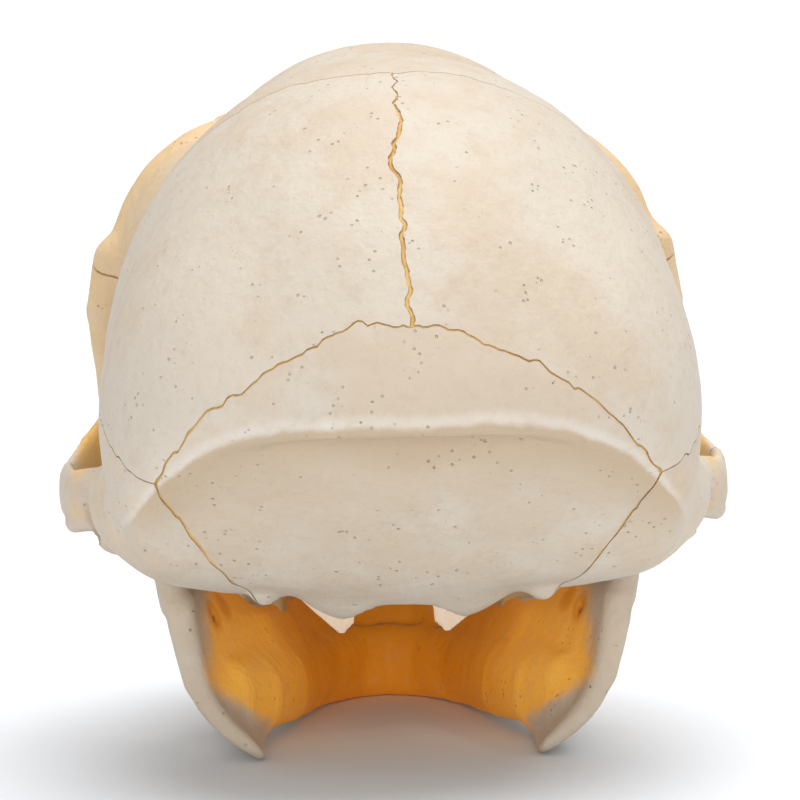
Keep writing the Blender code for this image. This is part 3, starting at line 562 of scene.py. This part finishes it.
# %% Cutting sheets
def suture_sheet(out, height, low, high, step, gap):
    """A thin closed sheet that follows height over the other two axes. gap is a width or a function."""

    def width(a, b):
        slopes = height(a + 0.5, b) - height(a - 0.5, b), height(a, b + 0.5) - height(a, b - 0.5)
        return (gap(a, b) if callable(gap) else gap) * math.hypot(1, *slopes)

    counts = [max(2, round((high[axis] - low[axis]) / step[axis])) for axis in (0, 1)]
    sheet = bmesh.new()
    bmesh.ops.create_grid(sheet, x_segments=counts[0], y_segments=counts[1], size=0.5)
    for vertex in sheet.verts:
        a = low[0] + (vertex.co.x + 0.5) * (high[0] - low[0])
        b = low[1] + (vertex.co.y + 0.5) * (high[1] - low[1])
        place = [a, b]
        place.insert(out, height(a, b) - width(a, b) / 2)
        vertex.co = Vector(place) * MM
    grown = bmesh.ops.extrude_face_region(sheet, geom=sheet.faces[:], use_keep_orig=True)
    for item in grown["geom"]:
        if isinstance(item, bmesh.types.BMVert):
            others = [item.co[axis] / MM for axis in range(3) if axis != out]
            item.co[out] += width(*others) * MM
    bmesh.ops.recalc_face_normals(sheet, faces=sheet.faces)
    mesh = bpy.data.meshes.new("sheet")
    sheet.to_mesh(mesh)
    sheet.free()
    made = bpy.data.objects.new("sheet", mesh)
    bpy.context.scene.collection.objects.link(made)
    return made


def cut_with(piece, cutter, operation, name):
    """A new mesh object: piece with cutter taken from it, or what the two share."""
    change = piece.modifiers.new("cut", "BOOLEAN")
    change.operation = operation
    change.object = cutter
    change.solver = "MANIFOLD"
    made = evaluated_copy(piece, name)
    piece.modifiers.remove(change)
    return made


def separate_surfaces(piece):
    """The closed surfaces of a mesh, as objects, largest first."""
    for item in bpy.context.view_layer.objects:
        item.select_set(False)
    bpy.context.view_layer.objects.active = piece
    piece.select_set(True)
    bpy.ops.object.mode_set(mode="EDIT")
    bpy.ops.mesh.select_all(action="SELECT")
    bpy.ops.mesh.separate(type="LOOSE")
    bpy.ops.object.mode_set(mode="OBJECT")
    return sorted(bpy.context.selected_objects, key=lambda item: -len(item.data.vertices))


def keep_largest(piece, name):
    """Only the largest closed surface of a mesh."""
    largest, *others = separate_surfaces(piece)
    for other in others:
        bpy.data.objects.remove(other)
    largest.name = name
    return largest


def midline_gap(y, z):
    """The midline suture gapes most over the middle of the vault."""
    angle = math.atan2(y - 12, z - 30)
    ragged = 0.16 * noise.noise(Vector((angle * 60, 2.0, 0.0)))
    return 0.16 + 0.26 * min(1.0, max(0.0, (angle - 0.3) * 5)) + ragged


def edge_gap(x, z):
    """The suture round the occipital bone is a hairline above and gapes in places behind the ear."""
    ragged = noise.noise(Vector((x * 0.45, z * 0.45, 4.0)))
    return 0.17 + 0.10 * max(0.0, ragged) + (0.22 * min(1.0, max(0.0, ragged + 0.3)) if z < 32 else 0.0)


kerfs = []


def split(piece, out, height, low, high, step, names, gap=0.22):
    """Cut piece along a sheet and keep the largest surface on each side, the lower side first."""
    cutter = suture_sheet(out, height, low, high, step, gap)
    cut = cut_with(piece, cutter, "DIFFERENCE", "cut")
    kerfs.append(cut_with(piece, cutter, "INTERSECT", "kerf"))
    found = {}
    for part in separate_surfaces(cut):
        above = 0
        points = part.data.vertices
        for at in range(0, len(points), max(1, len(points) // 400)):
            place = points[at].co / MM
            others = [place[axis] for axis in range(3) if axis != out]
            above += 1 if place[out] > height(*others) else -1
        side = above > 0
        if side in found:
            bpy.data.objects.remove(part)
        else:
            found[side] = part
    for used in (piece, cutter):
        bpy.data.objects.remove(used)
    for side, name in zip((False, True), names):
        found[side].name = name
    return [found[False], found[True]]


# %% Cut the cranium into its bones
def nasal_wedge(grow):
    """A block with sloping sides that holds the nasal bones."""
    block = bmesh.new()
    bmesh.ops.create_cube(block, size=2)
    for vertex in block.verts:
        x, y, z = vertex.co
        half = (1.8 if z > 0 else 3.7) + grow
        vertex.co = Vector((x * half, -36 + 22 * y, 70 if z > 0 else 37.0 - grow)) * MM
    mesh = bpy.data.meshes.new("wedge")
    block.to_mesh(mesh)
    block.free()
    made = bpy.data.objects.new("wedge", mesh)
    bpy.context.scene.collection.objects.link(made)
    return made


STEP = 0.45
made = {}
skull = keep_largest(skull, "skull")
across = (-40, 2), (40, 76), (STEP, STEP)
front, rear = split(skull, 1, coronal, *across, ("front", "rear"), 0.16)
rest, made["occipital"] = split(rear, 1, occipital_edge, *across, ("rest", "occipital_bone"), edge_gap)
ears, vault = split(rest, 2, squamous, (-40, -30), (40, 54), (2, STEP), ("ears", "vault"), 0.17)
grid = (-52, 2), (54, 76), (STEP, STEP)
names = "parietal_right_bone", "parietal_left_bone"
made["parietal_right"], made["parietal_left"] = split(vault, 0, midline, *grid, names, midline_gap)
plain = (-52, 2), (54, 76), (53, 37)
names = "temporal_right_bone", "temporal_left_bone"
made["temporal_right"], made["temporal_left"] = split(ears, 0, straight_midline, *plain, names)
below_brow = (-40, -52), (40, 20), (STEP, STEP)
lower, made["frontal"] = split(front, 2, brow_edge, *below_brow, ("lower", "frontal_bone"))
face, made["sphenoid"] = split(lower, 1, wing_edge, (-40, 2), (40, 76), (1, 37), ("face", "sphenoid_bone"))
inner, outer = nasal_wedge(0.0), nasal_wedge(0.2)
made["nasal"] = keep_largest(cut_with(face, inner, "INTERSECT", "nasal"), "nasal_bone")
rest = keep_largest(cut_with(face, outer, "DIFFERENCE", "face"), "face")
for used in (face, inner, outer):
    bpy.data.objects.remove(used)
grid = (-52, 2), (20, 76), (STEP, STEP)
face, made["zygomatic_left"] = split(rest, 0, cheek_edge, *grid, ("face", "zygomatic_left_bone"))
made["zygomatic_right"], face = split(face, 0, cheek_edge_right, *grid, ("zygomatic_right_bone", "face"))
plain = (-52, 2), (20, 76), (36, 37)
names = "maxilla_right_bone", "maxilla_left_bone"
made["maxilla_right"], made["maxilla_left"] = split(face, 0, straight_midline, *plain, names)
made["mandible"] = keep_largest(lower_jaw, "mandible_bone")
for name, piece in made.items():
    print(name, len(piece.data.polygons), "faces")

# %% [markdown]
# ## What fills the sutures
#
# Dried tissue the colour of amber lies a little way down in each open suture. The slivers that the cutting
# sheets took out have just its shape, so they are kept, and trimmed to a core that lies a sixth of a
# millimetre under the bone's surface before its relief.

# %% Suture tissue
filling = bmesh.new()
for kerf in kerfs:
    inlay = cut_with(kerf, core, "INTERSECT", "inlay")
    filling.from_mesh(inlay.data)
    for used in (kerf, inlay):
        bpy.data.objects.remove(used)
bpy.data.objects.remove(core)
mesh = bpy.data.meshes.new("suture_tissue")
filling.to_mesh(mesh)
filling.free()
tissue = bpy.data.objects.new("suture_tissue", mesh)
bpy.context.scene.collection.objects.link(tissue)
print("suture tissue", len(mesh.polygons), "faces")

# %% [markdown]
# ## Teeth
#
# A young monkey of this kind has, on each side and in each jaw, two incisors, a canine, two premolars and
# up to three molars, whose cusps stand in pairs joined by low ridges. Each tooth starts as a fine ball.
# Pulling its sides square and lifting its top in ridges gives the crown, and its lower half is the root,
# sunk in the bone.

# %% Teeth
UPPER_ROW = [(0, -43.4), (3.2, -42.9), (6.6, -40.8), (10.2, -37.2), (12.0, -32), (12.9, -24), (12.9, -10)]
LOWER_ROW = [(0, -41.2), (2.6, -40.8), (5.6, -38.8), (8.6, -35.4), (10.6, -31.0), (12.0, -24), (13.6, -4)]


def hump(value, width):
    return math.exp(-(value * value) / (width * width))


def crown(kind, x, y, z):
    """The place of one point of a unit ball once it is shaped into this kind of tooth."""
    if kind in ("molar", "premolar"):
        square = max(abs(x), abs(y), 0.3) ** 0.5
        x, y = x / square, y / square
        if z > 0.35:
            rows = 0.55 if kind == "molar" else 0.0
            ridge = hump(abs(x) - rows, 0.24)
            peak = hump(abs(y) - 0.52, 0.26)
            top = 0.56 + ridge * (0.10 + 0.34 * peak) - 0.10 * hump(x, 0.2) * hump(y, 0.5)
            z = min(z * 1.3, top)
        waist = 1 - 0.10 * hump(z, 0.35)
        return x * waist, y * waist, z
    if kind == "incisor":
        square = max(abs(x), abs(z), 0.3) ** 0.5
        x, z = x / square, z / square
        return x * (1 - 0.12 * hump(z, 0.4)), y * (1 - 0.62 * max(z, 0)) - 0.16 * max(z, 0) ** 2, z
    slim = 1 - 0.70 * max(z, 0) ** 1.4
    return x * slim, y * slim + 0.18 * max(z, 0) ** 2, z


def on_curve(points, distance):
    """The place and direction this far along a line of points."""
    for start, end in zip(points, points[1:]):
        step = Vector(end) - Vector(start)
        if distance <= step.length:
            return Vector(start) + step * (distance / step.length), step.normalized()
        distance -= step.length
    return Vector(points[-1]), (Vector(points[-1]) - Vector(points[-2])).normalized()


def tooth_row(row, upper, sign):
    """Add the eight teeth of one side to the mesh row, from the middle back."""
    kinds = [("incisor", 3.0 if upper else 2.3, 3.2, 4.0), ("incisor", 2.7 if upper else 2.4, 3.1, 3.8)]
    kinds += [("canine", 4.0 if upper else 3.5, 4.2, 5.6 if upper else 4.8)]
    kinds += [("premolar", 4.1, 4.4, 3.5), ("premolar", 4.2, 5.0, 3.4), ("molar", 5.3, 5.6, 3.4)]
    kinds += [("molar", 5.7, 5.8, 3.4), ("molar", 5.2, 5.3, 3.2)]
    along = 0.34
    for number, (kind, width, depth, height) in enumerate(kinds):
        along += (0.9 if upper and number == 2 else 0) + (1.2 if not upper and number == 3 else 0)
        (px, py), (tx, ty) = on_curve(UPPER_ROW if upper else LOWER_ROW, along + width / 2)
        along += width + 0.12
        turn = math.atan2(ty, tx) * sign
        level = UPPER_EDGE if upper else LOWER_EDGE
        ball = bmesh.ops.create_icosphere(row, subdivisions=4, radius=1.0)
        for vertex in ball["verts"]:
            x, y, z = crown(kind, *vertex.co)
            x, y, z = x * width / 2 * 0.99, y * depth / 2, z * height
            x, y = x * math.cos(turn) - y * math.sin(turn), x * math.sin(turn) + y * math.cos(turn)
            vertex.co = Vector((x + px * sign, y + py, z * (-1 if upper else 1) + level)) * MM


teeth = {}
halves = {"upper_left": [(True, 1)], "upper_right": [(True, -1)], "lower": [(False, 1), (False, -1)]}
for name, parts in halves.items():
    row = bmesh.new()
    for upper, sign in parts:
        tooth_row(row, upper, sign)
    bmesh.ops.recalc_face_normals(row, faces=row.faces)
    mesh = bpy.data.meshes.new("teeth_" + name)
    row.to_mesh(mesh)
    row.free()
    teeth[name] = bpy.data.objects.new("teeth_" + name, mesh)
    bpy.context.scene.collection.objects.link(teeth[name])
print("teeth", sum(len(item.data.polygons) for item in teeth.values()), "faces")

# %% [markdown]
# ## Shader maths
#
# The finishes below are sums and masks. This class wraps a socket of a material, so that `stain * 0.5`
# adds the node for it.

# %% Sockets as Python values
class Value:
    """A socket in a material, with the operators that add Math nodes."""

    def __init__(self, shader, socket):
        self.shader, self.socket = shader, socket

    def maths(self, operation, *others):
        inputs = {at: value for at, value in enumerate((self, *others))}
        return self.shader.node("ShaderNodeMath", {"operation": operation}, inputs)

    def __add__(self, other):
        return self.maths("ADD", other)

    def __sub__(self, other):
        return self.maths("SUBTRACT", other)

    def __rsub__(self, other):
        return self.shader.node("ShaderNodeMath", {"operation": "SUBTRACT"}, {0: other, 1: self})

    def __mul__(self, other):
        return self.maths("MULTIPLY", other)

    def __truediv__(self, other):
        return self.maths("DIVIDE", other)

    __radd__ = __add__
    __rmul__ = __mul__

    def between(self, low, high):
        """0 below low, 1 above high, and a soft rise between. Low may be the larger of the two."""
        inputs = {"Value": self, "From Min": low, "From Max": high}
        return self.shader.node("ShaderNodeMapRange", {"interpolation_type": "SMOOTHSTEP"}, inputs)

    def size(self):
        return self.maths("ABSOLUTE")

    def most(self, other):
        return self.maths("MAXIMUM", other)


class Shader:
    """A new material with one Principled shader."""

    def __init__(self, name):
        self.material = bpy.data.materials.new(name)
        self.material.use_nodes = True
        self.tree = self.material.node_tree
        self.principled = self.tree.nodes["Principled BSDF"]
        self.place = self.node("ShaderNodeTexCoord", {}, {}, "Object")
        parts = self.tree.nodes.new("ShaderNodeSeparateXYZ")
        self.tree.links.new(self.place.socket, parts.inputs[0])
        self.x, self.y, self.z = [Value(self, socket) * 1000.0 for socket in parts.outputs]

    def set(self, socket, value):
        if isinstance(value, Value):
            self.tree.links.new(value.socket, socket)
        else:
            socket.default_value = value

    def node(self, kind, settings, inputs, output=0):
        """Any node: its settings are made first, then its sockets are set or linked."""
        node = self.tree.nodes.new(kind)
        for name, value in settings.items():
            setattr(node, name, value)
        for name, value in inputs.items():
            self.set(node.inputs[name], value)
        return Value(self, node.outputs[output])

    def vector(self, operation, *inputs, output=0):
        return self.node("ShaderNodeVectorMath", {"operation": operation}, dict(enumerate(inputs)), output)

    def noise(self, size, detail=3.0, rough=0.55, seed=0.0):
        """Soft noise from 0 to 1 with patches of about this many millimetres."""
        place = self.vector("ADD", self.place, (seed, -seed, seed * 0.3))
        inputs = {"Vector": place, "Scale": 1000 / size, "Detail": detail, "Roughness": rough}
        return self.node("ShaderNodeTexNoise", {}, inputs)

    def cells(self, size, seed):
        """The distance to the nearest of many points that lie about this many millimetres apart."""
        place = self.vector("ADD", self.place, (seed, seed, -seed))
        return self.node("ShaderNodeTexVoronoi", {"feature": "F1"}, {"Vector": place, "Scale": 1000 / size})

    def mixed(self, share, first, second):
        """A colour that goes from first to second as share goes from 0 to 1."""
        first = (*first, 1) if isinstance(first, tuple) else first
        second = (*second, 1) if isinstance(second, tuple) else second
        node = self.tree.nodes.new("ShaderNodeMix")
        node.data_type = "RGBA"
        self.set(node.inputs[0], share)
        self.set(node.inputs[6], first)
        self.set(node.inputs[7], second)
        return Value(self, node.outputs[2])

    def finish(self, colour, roughness, height=None, depth=0.1, strength=1.0):
        self.set(self.principled.inputs["Base Color"], colour)
        self.set(self.principled.inputs["Roughness"], roughness)
        if height is not None:
            inputs = {"Height": height, "Distance": depth * MM, "Strength": strength}
            self.set(self.principled.inputs["Normal"], self.node("ShaderNodeBump", {}, inputs))
        return self.material


# %% [markdown]
# ## Bone
#
# Cleaned bone is cream, chalky and a little uneven: tan where fat has stayed in it, with fine pores and a
# few dark specks. A tan band under the nuchal crest is painted shade, and a pale band along its top is a
# painted highlight. The jaw's inner face is amber, partly stain and partly a painted glow for light that
# passes through the thin bone, and it also gives off a faint painted glow. The backs of the orbits and the
# insides of the cheek arches carry amber painted shade, and the wing plates a painted glow that lifts them
# out of shade. The masks read the place on the skull in millimetres.

# %% Bone finish
CREAM, WARM, TAN = (0.61, 0.535, 0.44), (0.585, 0.48, 0.365), (0.48, 0.355, 0.225)
# Amber is partly stain and partly painted light: a painted glow on the jaw, painted shade on the face and
# arches.
AMBER, DEEP_AMBER = (0.85, 0.47, 0.07), (0.60, 0.23, 0.002)
CREST_TOP_HIGHLIGHT, PORE, SPECK = (0.72, 0.67, 0.60), (0.40, 0.29, 0.17), (0.14, 0.11, 0.08)
CREST = 36.1
NERVE_HOLE = (0.0172, 0.002, 0.0133)


def bone(name, seed, warmth=0.0, amber=None, deep=None, glow=None):
    """Bone with masks for amber and deep amber, and a mask and a colour for a painted glow, an emission that
    stands in for light.
    """
    shader = Shader(name)
    broad = shader.noise(17, 2, 0.5, seed)
    blotch = shader.noise(5.5, 4, 0.6, seed + 3)
    grain = shader.noise(0.9, 3, 0.6, seed)
    pits = shader.noise(2.2, 3, 0.6, seed + 12)
    tint = (broad * 0.55 + blotch * 0.45).between(0.47 - warmth, 0.64 - warmth)
    colour = shader.mixed(tint, CREAM, WARM)
    stain = shader.noise(7.5, 5, 0.65, seed + 8).between(0.60, 0.74)
    colour = shader.mixed(stain * 0.35, colour, TAN)
    fourth = shader.x * shader.x * shader.x * shader.x
    # Painted shade: a tan band on the nuchal plane under the crest, strongest near it and fading over some 9
    # mm.
    under = (shader.z + fourth * 0.000024 - CREST) * -1.0 + (blotch - 0.5) * 1.5
    rear = shader.y.between(24, 34)
    colour = shader.mixed(under.between(-0.2, 0.5) * under.between(9, 0.5) * rear * 0.8, colour, TAN)
    # Painted highlight: a pale band along the top of the crest.
    rim = under.between(-1.6, -0.4) * under.between(0.4, -0.4)
    colour = shader.mixed(rim * rear * 0.5, colour, CREST_TOP_HIGHLIGHT)
    if amber is not None:
        colour = shader.mixed(amber(shader), colour, AMBER)
    if deep is not None:
        colour = shader.mixed(deep(shader), colour, DEEP_AMBER)
    texture = (0.5 - grain).between(0.0, 0.2) * 0.16 + (pits - 0.5).between(0.0, 0.3) * 0.22
    colour = shader.mixed(texture, colour, TAN)
    patches = shader.noise(3.6, 2, 0.5, seed + 1).between(0.52, 0.64)
    pores = shader.cells(0.8, seed).between(0.20, 0.08) * patches
    colour = shader.mixed(pores * 0.14, colour, PORE)
    patches = shader.noise(11, 1, 0.5, seed + 5).between(0.5, 0.56)
    specks = shader.cells(6.5, seed + 2).between(0.040, 0.022) * patches
    colour = shader.mixed(specks * 0.8, colour, SPECK)
    # Painted glow: an emission in the mask's colour, standing in for light that the bone does not get from
    # the lamps.
    if glow is not None:
        where, tone = glow
        light = shader.mixed(where(shader), (0.0, 0.0, 0.0), tone)
        shader.set(shader.principled.inputs["Emission Color"], light)
        shader.principled.inputs["Emission Strength"].default_value = 1.0
    height = blotch * 0.9 + pits * 0.6 + grain * 0.4 - pores * 0.8
    return shader.finish(colour, 0.52 + grain * 0.22, height, 0.26, 1.0)


# Painted shade: amber that grows towards the front, for the shaded backs of the orbits and the walls behind
# them.
def face_painted_shade(shader):
    return (shader.y * -1.0).between(2, 22) * 0.42


def wing_painted_glow(shader):
    """A painted glow on the wing plates behind the palate, which lie in the occiput's shade, so that they
    are as bright as the vault.
    """
    return shader.z.between(17, 13)


def arch_painted_shade(shader):
    """Amber painted shade on the inside of the cheek arch, seen over its outer rim, and the face's painted
    shade.
    """
    ragged = (shader.noise(2.0, 3, 0.6, 5.0) - 0.5) * 2.0
    out = shader.x.size() + ragged
    band = out.between(27.2, 28.2) * out.between(31.2, 30.0)
    length = shader.y.between(-14, -11) * shader.y.between(8.5, 5.5)
    return band * length * (shader.z + ragged).between(22.8, 24.0) * 0.62 + face_painted_shade(shader)


def mastoid_tan_and_arch_shade(shader):
    """The painted shade inside the arch, and the tan blotches at the outer edge of the swelling behind the
    ear.
    """
    spots = shader.noise(2.6, 4, 0.65, 6.0).between(0.42, 0.62)
    edge = shader.x.size().between(21.5, 27.0) * shader.y.between(9, 13)
    return arch_painted_shade(shader).most(spots * edge * 0.16)


def faces_in(shader):
    """How far a face of the jaw looks towards the space between its halves."""
    centre = shader.vector("SUBTRACT", (0.0, 0.006, 0.0), shader.place)
    towards = shader.vector("NORMALIZE", shader.vector("MULTIPLY", centre, (1.0, 1.0, 0.0)))
    normal = shader.node("ShaderNodeNewGeometry", {}, {}, 1)
    return shader.vector("DOT_PRODUCT", towards, normal, output=1)


def jaw_stain_and_glow(shader):
    """Amber on the jaw's inner face, partly stain and partly painted glow, but for the strip along its back
    edge, which is widest at the angle.
    """
    ragged = (shader.noise(2.4, 3, 0.6, 4.0) - 0.5) * 1.4
    edge = shader.z.between(8.5, 1.5) * -5.8 + 18.2
    inner = (shader.x.size() - edge + ragged).between(0.9, -0.9)
    return faces_in(shader).between(0.0, 0.25) * inner


def jaw_deep(shader):
    """Deep amber in the middle of the jaw and round the nerve hole in each ramus."""
    middle = (shader.y + shader.x.size() * 0.7).between(14, -8)
    away = shader.vector("DISTANCE", shader.vector("ABSOLUTE", shader.place), NERVE_HOLE, output=1)
    cloud = shader.noise(6, 3, 0.6, 9.0).between(0.2, 0.8) * 0.3 + 0.7
    return (jaw_stain_and_glow(shader) * middle * cloud).most((away * 1000.0).between(2.2, 0.9) * 0.9)


finishes = {
    "frontal": bone("frontal_finish", 0.11, 0.05, face_painted_shade),
    "parietal_left": bone("parietal_left_finish", 0.23),
    "parietal_right": bone("parietal_right_finish", 0.37),
    "occipital": bone("occipital_finish", 0.41, 0.09),
    "temporal_left": bone("temporal_left_finish", 0.53, 0.03, mastoid_tan_and_arch_shade),
    "temporal_right": bone("temporal_right_finish", 0.59, 0.03, mastoid_tan_and_arch_shade),
    # The sphenoid's emission is a painted glow on the wing plates.
    "sphenoid": bone("sphenoid_finish", 0.67, 0.0, face_painted_shade, None, (wing_painted_glow, (0.36, 0.30, 0.23))),
    "nasal": bone("nasal_finish", 0.71, 0.05),
    "zygomatic_left": bone("zygomatic_left_finish", 0.79, 0.06, arch_painted_shade),
    "zygomatic_right": bone("zygomatic_right_finish", 0.83, 0.06, arch_painted_shade),
    "maxilla_left": bone("maxilla_left_finish", 0.89, 0.05),
    "maxilla_right": bone("maxilla_right_finish", 0.97, 0.05),
    # The mandible's emission is a painted glow on its inner face, for light through the thin bone.
    "mandible": bone("mandible_finish", 0.31, 0.13, jaw_stain_and_glow, jaw_deep, (jaw_stain_and_glow, (0.14, 0.038, 0.0))),
}

# %% [markdown]
# Enamel is harder and glossier than bone, ivory at the tip and yellow towards the root, with hairlines.

# %% Enamel and suture tissue
def enamel(name):
    shader = Shader(name)
    middle = shader.z - 16.0
    neck = middle.size().between(1.6, 3.8)
    streaks = shader.noise(0.8, 3, 0.6, 2.0)
    colour = shader.mixed(neck, (0.80, 0.74, 0.62), (0.58, 0.43, 0.22))
    colour = shader.mixed(streaks.between(0.52, 0.75) * 0.4, colour, (0.50, 0.36, 0.19))
    return shader.finish(colour, 0.24 + streaks * 0.2, streaks, 0.04, 0.6)


def tissue_finish():
    shader = Shader("suture_tissue")
    grain = shader.noise(0.6, 3, 0.6, 6.0)
    patch = shader.noise(5, 2, 0.5, 8.0)
    colour = shader.mixed(patch.between(0.35, 0.65), (0.62, 0.36, 0.10), (0.72, 0.47, 0.17))
    colour = shader.mixed(grain.between(0.5, 0.75) * 0.5, colour, (0.36, 0.19, 0.05))
    return shader.finish(colour, 0.7, grain, 0.12, 1.0)


# %% [markdown]
# ## Dressing the solids
#
# Each dressed bone stands for the solid of its name. The teeth and the tissue are extra pieces on the same
# body, because nothing on a cleaned skull moves.

# %% Dress
JAW_DEPTH_CUT = 1.1
JAW_TOP = 12.0


def settle(piece):
    """Make the jaw under its teeth shallower, and bring all that is above it down by as much."""
    for vertex in piece.data.vertices:
        z = vertex.co.z / MM
        vertex.co.z = (z * (1 - JAW_DEPTH_CUT / JAW_TOP) if z < JAW_TOP else z - JAW_DEPTH_CUT) * MM


def dress(piece, material):
    settle(piece)
    for face in piece.data.polygons:
        face.material_index = 0
        face.use_smooth = True
    piece.data.materials.clear()
    piece.data.materials.append(material)
    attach(piece, "root")


for name, piece in made.items():
    dress(piece, finishes[name])
    piece.data.set_sharp_from_angle(angle=math.radians(50))
    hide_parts(name)
tooth_finish = enamel("enamel")
holders = {"upper_left": "maxilla_left_bone", "upper_right": "maxilla_right_bone", "lower": "mandible_bone"}
for name, slot in holders.items():
    dress(teeth[name], tooth_finish)
dress(tissue, tissue_finish())

# %% [markdown]
# ## Floor and light
#
# The photograph has a white ground and soft light from all round, stronger from above, so the only shadow is
# a grey pool under the jaw. A bright world gives the evenness, a wide sun above gives the pool, and a large
# low lamp on the camera's side reaches under the occiput and into the jaw.

# %% Floor
floor_net = bmesh.new()
bmesh.ops.create_grid(floor_net, x_segments=8, y_segments=8, size=4.0)
mesh = bpy.data.meshes.new("floor")
floor_net.to_mesh(mesh)
floor_net.free()
floor = bpy.data.objects.new("floor", mesh)
bpy.context.scene.collection.objects.link(floor)
shader = Shader("floor")
wash = shader.noise(300, 2, 0.5, 1.0)
floor.data.materials.append(shader.finish(shader.mixed(wash, (0.79, 0.82, 0.86), (0.80, 0.83, 0.87)), 0.8))

# %% Light
world = bpy.data.worlds.new("studio")
bpy.context.scene.world = world
world.use_nodes = True
world.node_tree.nodes["Background"].inputs["Color"].default_value = (1, 1, 1, 1)
world.node_tree.nodes["Background"].inputs["Strength"].default_value = 0.50


def lamp(kind, name, place, aim, size, power):
    data = bpy.data.lights.new(name, kind)
    if kind == "SUN":
        data.angle = size
    else:
        data.shape = "SQUARE"
        data.size = size
    data.energy = power
    light = bpy.data.objects.new(name, data)
    light.location = place
    light.rotation_euler = (Vector(aim) - Vector(place)).to_track_quat("-Z", "Y").to_euler()
    bpy.context.scene.collection.objects.link(light)


lamp("SUN", "sky", (-0.16, -0.10, 1.0), (0, 0, 0), math.radians(65), 2.9)
lamp("AREA", "low", (0.10, 1.2, 0.10), (0, 0, 0.03), 0.7, 6.6)
bpy.context.scene.view_settings.view_transform = "Standard"
